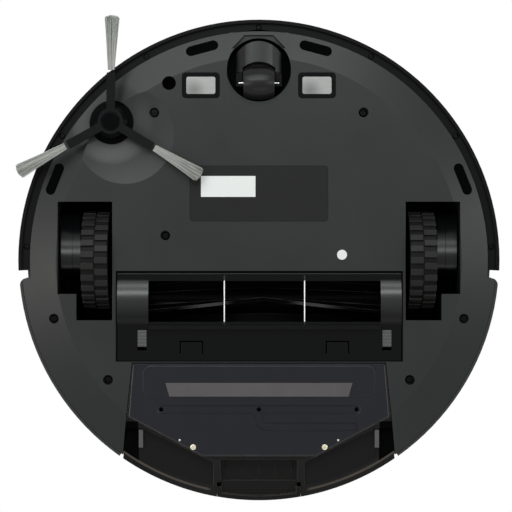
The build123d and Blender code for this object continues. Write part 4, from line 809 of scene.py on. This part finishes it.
class VACUUM_OT_side_brush(bpy.types.Operator):
    """Grow the strands of the side brush's tufts"""
    bl_idname = "vacuum.side_brush"
    bl_label = "Side brush"

    def execute(self, context):
        sizes = context.scene.vacuum_sizes
        hub = middle("side_hub")
        tufts, first_turn = 3, math.radians(-89.0)
        root_z, root_spread, tip_z, tip_spread = 3.9 * MM, 0.9 * MM, 2.5 * MM, 1.5 * MM
        ragged, round_end, sway, lift = 1.6 * MM, 1.5 * MM, 0.7 * MM, 0.4 * MM
        tree = Growth("Tufts", strands=sizes.strands, strand_r=sizes.strand_r, start=sizes.tuft_start,
                      reach=sizes.tuft_end, root_width=sizes.tuft_root, tip_width=sizes.tuft_tip)
        strands = tree.size("strands")
        points = tree.node("GeometryNodePoints", {}, {"Count": strands * tufts})
        number = tree.node("GeometryNodeInputIndex")

        def chance(seed, low=-1.0, high=1.0):
            return tree.node("FunctionNodeRandomValue", {"data_type": "FLOAT"},
                             {2: low, 3: high, "ID": number, "Seed": seed}, output=1)

        def keep(geometry, name, value):
            return tree.node("GeometryNodeStoreNamedAttribute", {"data_type": "FLOAT", "domain": "POINT"},
                             {"Geometry": geometry, "Name": name, "Value": value})

        def kept(name):
            return tree.node("GeometryNodeInputNamedAttribute", {"data_type": "FLOAT"}, {"Name": name})

        for name, value in (("tuft", (number / strands).floor()), ("column", chance(3)), ("row", chance(7)),
                            ("short", chance(11, 0.0, 1.0)), ("bend", chance(13)),
                            ("strand_tone", chance(17, 0.0, 1.0))):
            points = keep(points, name, value)
        line = tree.node("GeometryNodeMeshLine", {"mode": "END_POINTS"},
                         {"Count": 7, "Start Location": (0, 0, 0), "Offset": (1, 0, 0)})
        lines = tree.node("GeometryNodeRealizeInstances", {}, {"Geometry": tree.copies(points, line)})
        place = tree.node("GeometryNodeInputPosition")
        along = tree.node("ShaderNodeSeparateXYZ", {}, {0: place}, output="X")
        column, row, short, bend = kept("column"), kept("row"), kept("short"), kept("bend")
        start, root_width = tree.size("start"), tree.size("root_width")
        end = tree.size("reach") - ragged * short ** 2.0 - round_end * column * column
        out = start + (end - start) * along
        width = root_width + (tree.size("tip_width") - root_width) * along
        side = column * width * 0.5 + bend * along * along * sway
        root = root_z + row * root_spread
        tip = tip_z + row * tip_spread
        rise = root + (tip - root) * along + bend * row * along * along * lift
        flat = tree.node("ShaderNodeCombineXYZ", {}, {"X": out, "Y": side, "Z": rise})
        turned = tree.node("ShaderNodeVectorRotate", {"rotation_type": "Z_AXIS"},
                           {"Vector": flat, "Angle": kept("tuft") * (2 * math.pi / tufts) + first_turn})
        moved = tree.node("ShaderNodeVectorMath", {"operation": "ADD"}, {0: turned, 1: (hub.x, hub.y, 0.0)})
        lines = tree.node("GeometryNodeSetPosition", {}, {"Geometry": lines, "Position": moved})
        curves = tree.node("GeometryNodeMeshToCurve", {}, {"Mesh": lines})
        taper = tree.node("GeometryNodeSplineParameter", output="Factor")
        curves = tree.node("GeometryNodeSetCurveRadius", {}, {"Curve": curves, "Radius": 1 - 0.35 * taper})
        ring = tree.node("GeometryNodeCurvePrimitiveCircle", {},
                         {"Resolution": 4, "Radius": tree.size("strand_r")})
        made = tree.node("GeometryNodeCurveToMesh", {},
                         {"Curve": curves, "Profile Curve": ring, "Fill Caps": True})
        piece = tree.grow("side_brush_tufts", made, MADE["bristle"])
        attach(piece, "side_brush")
        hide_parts("side_bristles")
        return {"FINISHED"}


class VACUUM_OT_tyres(bpy.types.Operator):
    """Grow the block treads of the two tyres"""
    bl_idname = "vacuum.tyres"
    bl_label = "Tyres"

    def execute(self, context):
        sizes = context.scene.vacuum_sizes
        shoulder, sunk, clear, soft = 0.8 * MM, 0.8 * MM, 0.06 * MM, 0.35 * MM
        lug_share, lug_taper = 0.58, 0.9
        for side, hand in ((-1, "left"), (1, "right")):
            low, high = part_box(f"{hand}_tyre")
            hub_low, hub_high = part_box(f"{hand}_hub")
            centre = (low + high) / 2
            outer = (high.z - low.z) / 2
            inner = (hub_high.z - hub_low.z) / 2
            half = (high.x - low.x) / 2
            root = outer - sizes.lug_height
            row = half - sizes.tread_split / 2
            lug_half = lug_share * math.pi * outer / sizes.lugs
            bm = bmesh.new()
            lathe(bm, ((-half, inner), (half, inner), (half, root - shoulder), (half - shoulder, root),
                       (shoulder - half, root), (-half, root - shoulder)), Vector((1, 0, 0)), centre, 96)
            carcass = as_mesh(f"{hand}_carcass", bm)
            bm = bmesh.new()
            block(bm, (-row / 2, -sunk, -lug_half), (row / 2, outer - root - clear, lug_half), soft,
                  lug_taper)
            with Hidden("tread_lug", bm) as lug:
                tree = Growth("Treads", lugs=sizes.lugs, root=root, row=row, split=sizes.tread_split, lug=lug)
                count = tree.size("lugs")
                points = tree.node("GeometryNodePoints", {}, {"Count": count * 2})
                number = tree.node("GeometryNodeInputIndex")
                second = (number / count).floor()
                turn = (number + 0.5 * second) * (2 * math.pi) / count - math.pi / 2
                across = side * (2 * second - 1) * (tree.size("row") + tree.size("split")) * 0.5
                radius = tree.size("root")
                place = tree.node("ShaderNodeCombineXYZ", {}, {
                    "X": across + centre.x, "Y": radius * turn.maths("COSINE", turn) + centre.y,
                    "Z": radius * turn.maths("SINE", turn) + centre.z})
                points = tree.node("GeometryNodeSetPosition", {}, {"Geometry": points, "Position": place})
                spin = tree.node("ShaderNodeCombineXYZ", {}, {"X": turn})
                lugs = tree.copies(points, tree.shape("lug"), Rotation=spin)
                joined = tree.node("GeometryNodeJoinGeometry", {}, {0: tree.start})
                tree.feed(joined.socket.node.inputs[0], lugs)
                piece = tree.grow(f"{hand}_tyre_tread", joined, MADE["tyre"], carcass)
            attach(piece, f"{hand}_wheel")
            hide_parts(f"{hand}_tyre")
        return {"FINISHED"}


class VACUUM_OT_screws(bpy.types.Operator):
    """Set cross-head screws where the solids have them"""
    bl_idname = "vacuum.screws"
    bl_label = "Screws"

    def execute(self, context):
        first_turn, turn_step = 0.3, 0.7
        for node, body, finish, slot in (("base_screws", "chassis", "screw", "screw_steel"),
                                         ("bumper_screws", "bumper", "screw", "screw_steel"),
                                         ("tank_screws", "dust_bin", "brass", "screw_brass")):
            boxes = clusters(node, 8 * MM)
            low, high = boxes[0]
            places = spots(f"{node}_spots", [((a.x + b.x) / 2, (a.y + b.y) / 2, a.z) for a, b in boxes])
            with Hidden("screw", cross_head(high - low)) as screw:
                tree = Growth("Screws", screw=screw)
                number = tree.node("GeometryNodeInputIndex")
                spin = tree.node("ShaderNodeCombineXYZ", {}, {"Z": number * turn_step + first_turn})
                made = tree.copies(tree.start, tree.shape("screw"), Rotation=spin)
                piece = tree.grow(f"{node}_cross_head", made, MADE[finish], places)
            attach(piece, body)
            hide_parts(node)
        return {"FINISHED"}


class VACUUM_OT_springs(bpy.types.Operator):
    """Wind the torsion springs of the two suspension arms"""
    bl_idname = "vacuum.springs"
    bl_label = "Springs"

    def execute(self, context):
        thick = context.scene.vacuum_sizes.spring_wire
        boxes = clusters("suspension_springs", 60 * MM)
        size = boxes[0][1] - boxes[0][0]
        tree = Growth("Springs", wire=thick, turns=6.0, span=size.x - 2 * thick, radius=size.z / 2 - thick)
        coil = tree.node("GeometryNodeCurveSpiral", {}, {
            "Resolution": 20, "Rotations": tree.size("turns"), "Start Radius": tree.size("radius"),
            "End Radius": tree.size("radius"), "Height": tree.size("span")})
        ring = tree.node("GeometryNodeCurvePrimitiveCircle", {},
                         {"Resolution": 8, "Radius": tree.size("wire")})
        wire = tree.node("GeometryNodeCurveToMesh", {},
                         {"Curve": coil, "Profile Curve": ring, "Fill Caps": True})
        wire = tree.node("GeometryNodeTransform", {}, {"Geometry": wire, "Rotation": (0.0, math.pi / 2, 0.0)})
        places = spots("spring_spots", [(a.x + thick, (a.y + b.y) / 2, (a.z + b.z) / 2) for a, b in boxes])
        piece = tree.grow("suspension_coils", tree.copies(tree.start, wire), MADE["screw"], places)
        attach(piece, "chassis")
        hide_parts("suspension_springs")
        return {"FINISHED"}


class VACUUM_OT_bin_fittings(bpy.types.Operator):
    """Set the ribs in the bin's finger hollow and the pins in the tank's panel"""
    bl_idname = "vacuum.bin_fittings"
    bl_label = "Bin fittings"

    def execute(self, context):
        rib_half, rib_deep, rib_long, rib_step = 0.5 * MM, 0.9 * MM, 10.0 * MM, 12.0 * MM
        rib_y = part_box("bin_button")[0].y - 9.0 * MM
        rib = bmesh.new()
        block(rib, (-rib_half, -rib_long / 2, -rib_deep), (rib_half, rib_long / 2, 0.1 * MM), 0.2 * MM)
        panel_low, panel_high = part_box("tank_panel")
        pin_x, pin_y, pin_z = 57.3 * MM, panel_high.y - 11.3 * MM, panel_low.z + 1.0 * MM
        pin_r, pin_tip, pin_long = 0.9 * MM, 0.6 * MM, 1.2 * MM
        pin = bmesh.new()
        lathe(pin, ((0.0, 0.0), (0.0, pin_r), (0.2 * MM - pin_long, pin_r), (-pin_long, pin_tip),
                    (-pin_long, 0.0)), UP, CENTRE, 16)
        bmesh.ops.remove_doubles(pin, verts=pin.verts, dist=WELD)
        for name, bm, finish, slot, places in (
                ("finger_hollow_ribs", rib, "bin", "window_black",
                 [(step * rib_step, rib_y, HOLLOW_ROOF) for step in (-2, -1, 0, 1, 2)]),
                ("tank_pins", pin, "steel", "steel", [(-pin_x, pin_y, pin_z), (pin_x, pin_y, pin_z)])):
            with Hidden(f"{name}_shape", bm) as form:
                tree = Growth("Fittings", form=form)
                made = tree.copies(tree.start, tree.shape("form"))
                piece = tree.grow(name, made, MADE[finish], spots(f"{name}_spots", places))
            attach(piece, "dust_bin")
        return {"FINISHED"}


class VACUUM_OT_stage(bpy.types.Operator):
    """Set the floor, the light and the camera"""
    bl_idname = "vacuum.stage"
    bl_label = "Studio"

    def execute(self, context):
        scene = context.scene
        scene.view_settings.view_transform = "Standard"
        self.floor(scene)
        self.light(scene)
        self.camera(scene)
        return {"FINISHED"}

    def floor(self, scene):
        """Pale floor that is clear from below and casts nothing on the part."""
        bm = bmesh.new()
        bmesh.ops.create_grid(bm, x_segments=1, y_segments=1, size=4.0)
        floor = bpy.data.objects.new("studio_floor", as_mesh("studio_floor", bm))
        scene.collection.objects.link(floor)
        finish = Finish("studio_floor")
        finish.set(Base_Color=(0.82, 0.82, 0.82, 1.0), Roughness=0.9)
        behind = finish.node("ShaderNodeNewGeometry", output="Backfacing")
        finish.cover(behind, finish.node("ShaderNodeBsdfTransparent"))
        floor.data.materials.append(finish.material)
        for ray in ("visible_shadow", "visible_diffuse", "visible_glossy", "visible_transmission"):
            setattr(floor, ray, False)

    def light(self, scene):
        """White surroundings that light the part little, and softboxes."""
        scene.world = bpy.data.worlds.new("studio_air")
        scene.world.use_nodes = True
        air = Graph(scene.world.node_tree)
        rays = air.node("ShaderNodeLightPath", output="Is Camera Ray")
        seen = rays
        for ray in ("Is Glossy Ray", "Is Transmission Ray"):
            seen = seen + Value(air, rays.socket.node.outputs[ray])
        white = air.node("ShaderNodeBackground", {}, {"Color": (1, 1, 1, 1), "Strength": 1.0})
        fill = air.node("ShaderNodeBackground", {}, {"Color": (1, 1, 1, 1), "Strength": 0.16})
        sky = air.node("ShaderNodeMixShader", {}, {0: seen, 1: fill, 2: white})
        air.feed(air.tree.nodes["World Output"].inputs[0], sky)
        for name, place, width, depth, power, tint in (
                ("front_softbox", (-0.1, -0.62, -1.1), 1.2, 0.2, 8.0, (0.95, 1.0, 1.0)),
                ("front_strip", (-0.15, -0.95, -0.85), 1.4, 0.22, 5.5, (0.95, 1.0, 1.0)),
                ("left_softbox", (-0.95, 0.05, -0.85), 0.3, 1.1, 4.4, (1.0, 0.97, 0.92)),
                ("right_softbox", (0.95, -0.15, -0.85), 0.3, 1.1, 3.8, (0.97, 1.0, 1.0)),
                ("rear_softbox", (0.1, 0.9, -0.95), 1.0, 0.3, 1.0, (1.0, 1.0, 1.0)),
                ("top_softbox", (-0.5, -0.7, 1.3), 1.0, 1.0, 18.0, (1.0, 1.0, 1.0))):
            lamp = bpy.data.lights.new(name, "AREA")
            lamp.shape = "RECTANGLE"
            lamp.size = width
            lamp.size_y = depth
            lamp.energy = power
            lamp.color = tint
            holder = bpy.data.objects.new(name, lamp)
            holder.location = place
            holder.rotation_euler = (-Vector(place)).to_track_quat("-Z", "Y").to_euler()
            scene.collection.objects.link(holder)

    def camera(self, scene):
        """Camera straight below, a little off the part's middle as in the photograph."""
        sizes = scene.vacuum_sizes
        lens = bpy.data.cameras.new("camera")
        lens.sensor_width = SENSOR
        lens.lens = SENSOR * sizes.camera_height / sizes.frame_width
        lens.clip_end = 20.0
        camera = bpy.data.objects.new("camera", lens)
        camera.location = (-2.1 * MM, -3.1 * MM, WAIST_Z - sizes.camera_height)
        camera.rotation_euler = (math.pi, 0, 0)
        scene.collection.objects.link(camera)
        scene.camera = camera


class VACUUM_PT_panel(bpy.types.Panel):
    """Steps that make the robot vacuum, in order"""
    bl_idname = "VACUUM_PT_panel"
    bl_label = "Robot vacuum"
    bl_space_type = "VIEW_3D"
    bl_region_type = "UI"
    bl_category = "Vacuum"

    def draw(self, context):
        for step in STEPS:
            self.layout.operator(step.bl_idname)
        for group in (context.scene.vacuum_colours, context.scene.vacuum_sizes):
            for key in type(group).__annotations__:
                self.layout.prop(group, key)


STEPS = (VACUUM_OT_stage, VACUUM_OT_parts, VACUUM_OT_side_brush, VACUUM_OT_tyres, VACUUM_OT_screws,
         VACUUM_OT_springs, VACUUM_OT_bin_fittings)
CLASSES = (VacuumColours, VacuumSizes, *STEPS, VACUUM_PT_panel)


def register():
    for item in CLASSES:
        bpy.utils.register_class(item)
    bpy.types.Scene.vacuum_colours = PointerProperty(type=VacuumColours)
    bpy.types.Scene.vacuum_sizes = PointerProperty(type=VacuumSizes)


def unregister():
    del bpy.types.Scene.vacuum_sizes
    del bpy.types.Scene.vacuum_colours
    for item in reversed(CLASSES):
        bpy.utils.unregister_class(item)


def main():
    register()
    bpy.ops.vacuum.stage()
    bpy.ops.vacuum.parts()
    bpy.ops.vacuum.side_brush()
    bpy.ops.vacuum.tyres()
    bpy.ops.vacuum.screws()
    bpy.ops.vacuum.springs()
    bpy.ops.vacuum.bin_fittings()


if __name__ == "__main__":
    main()
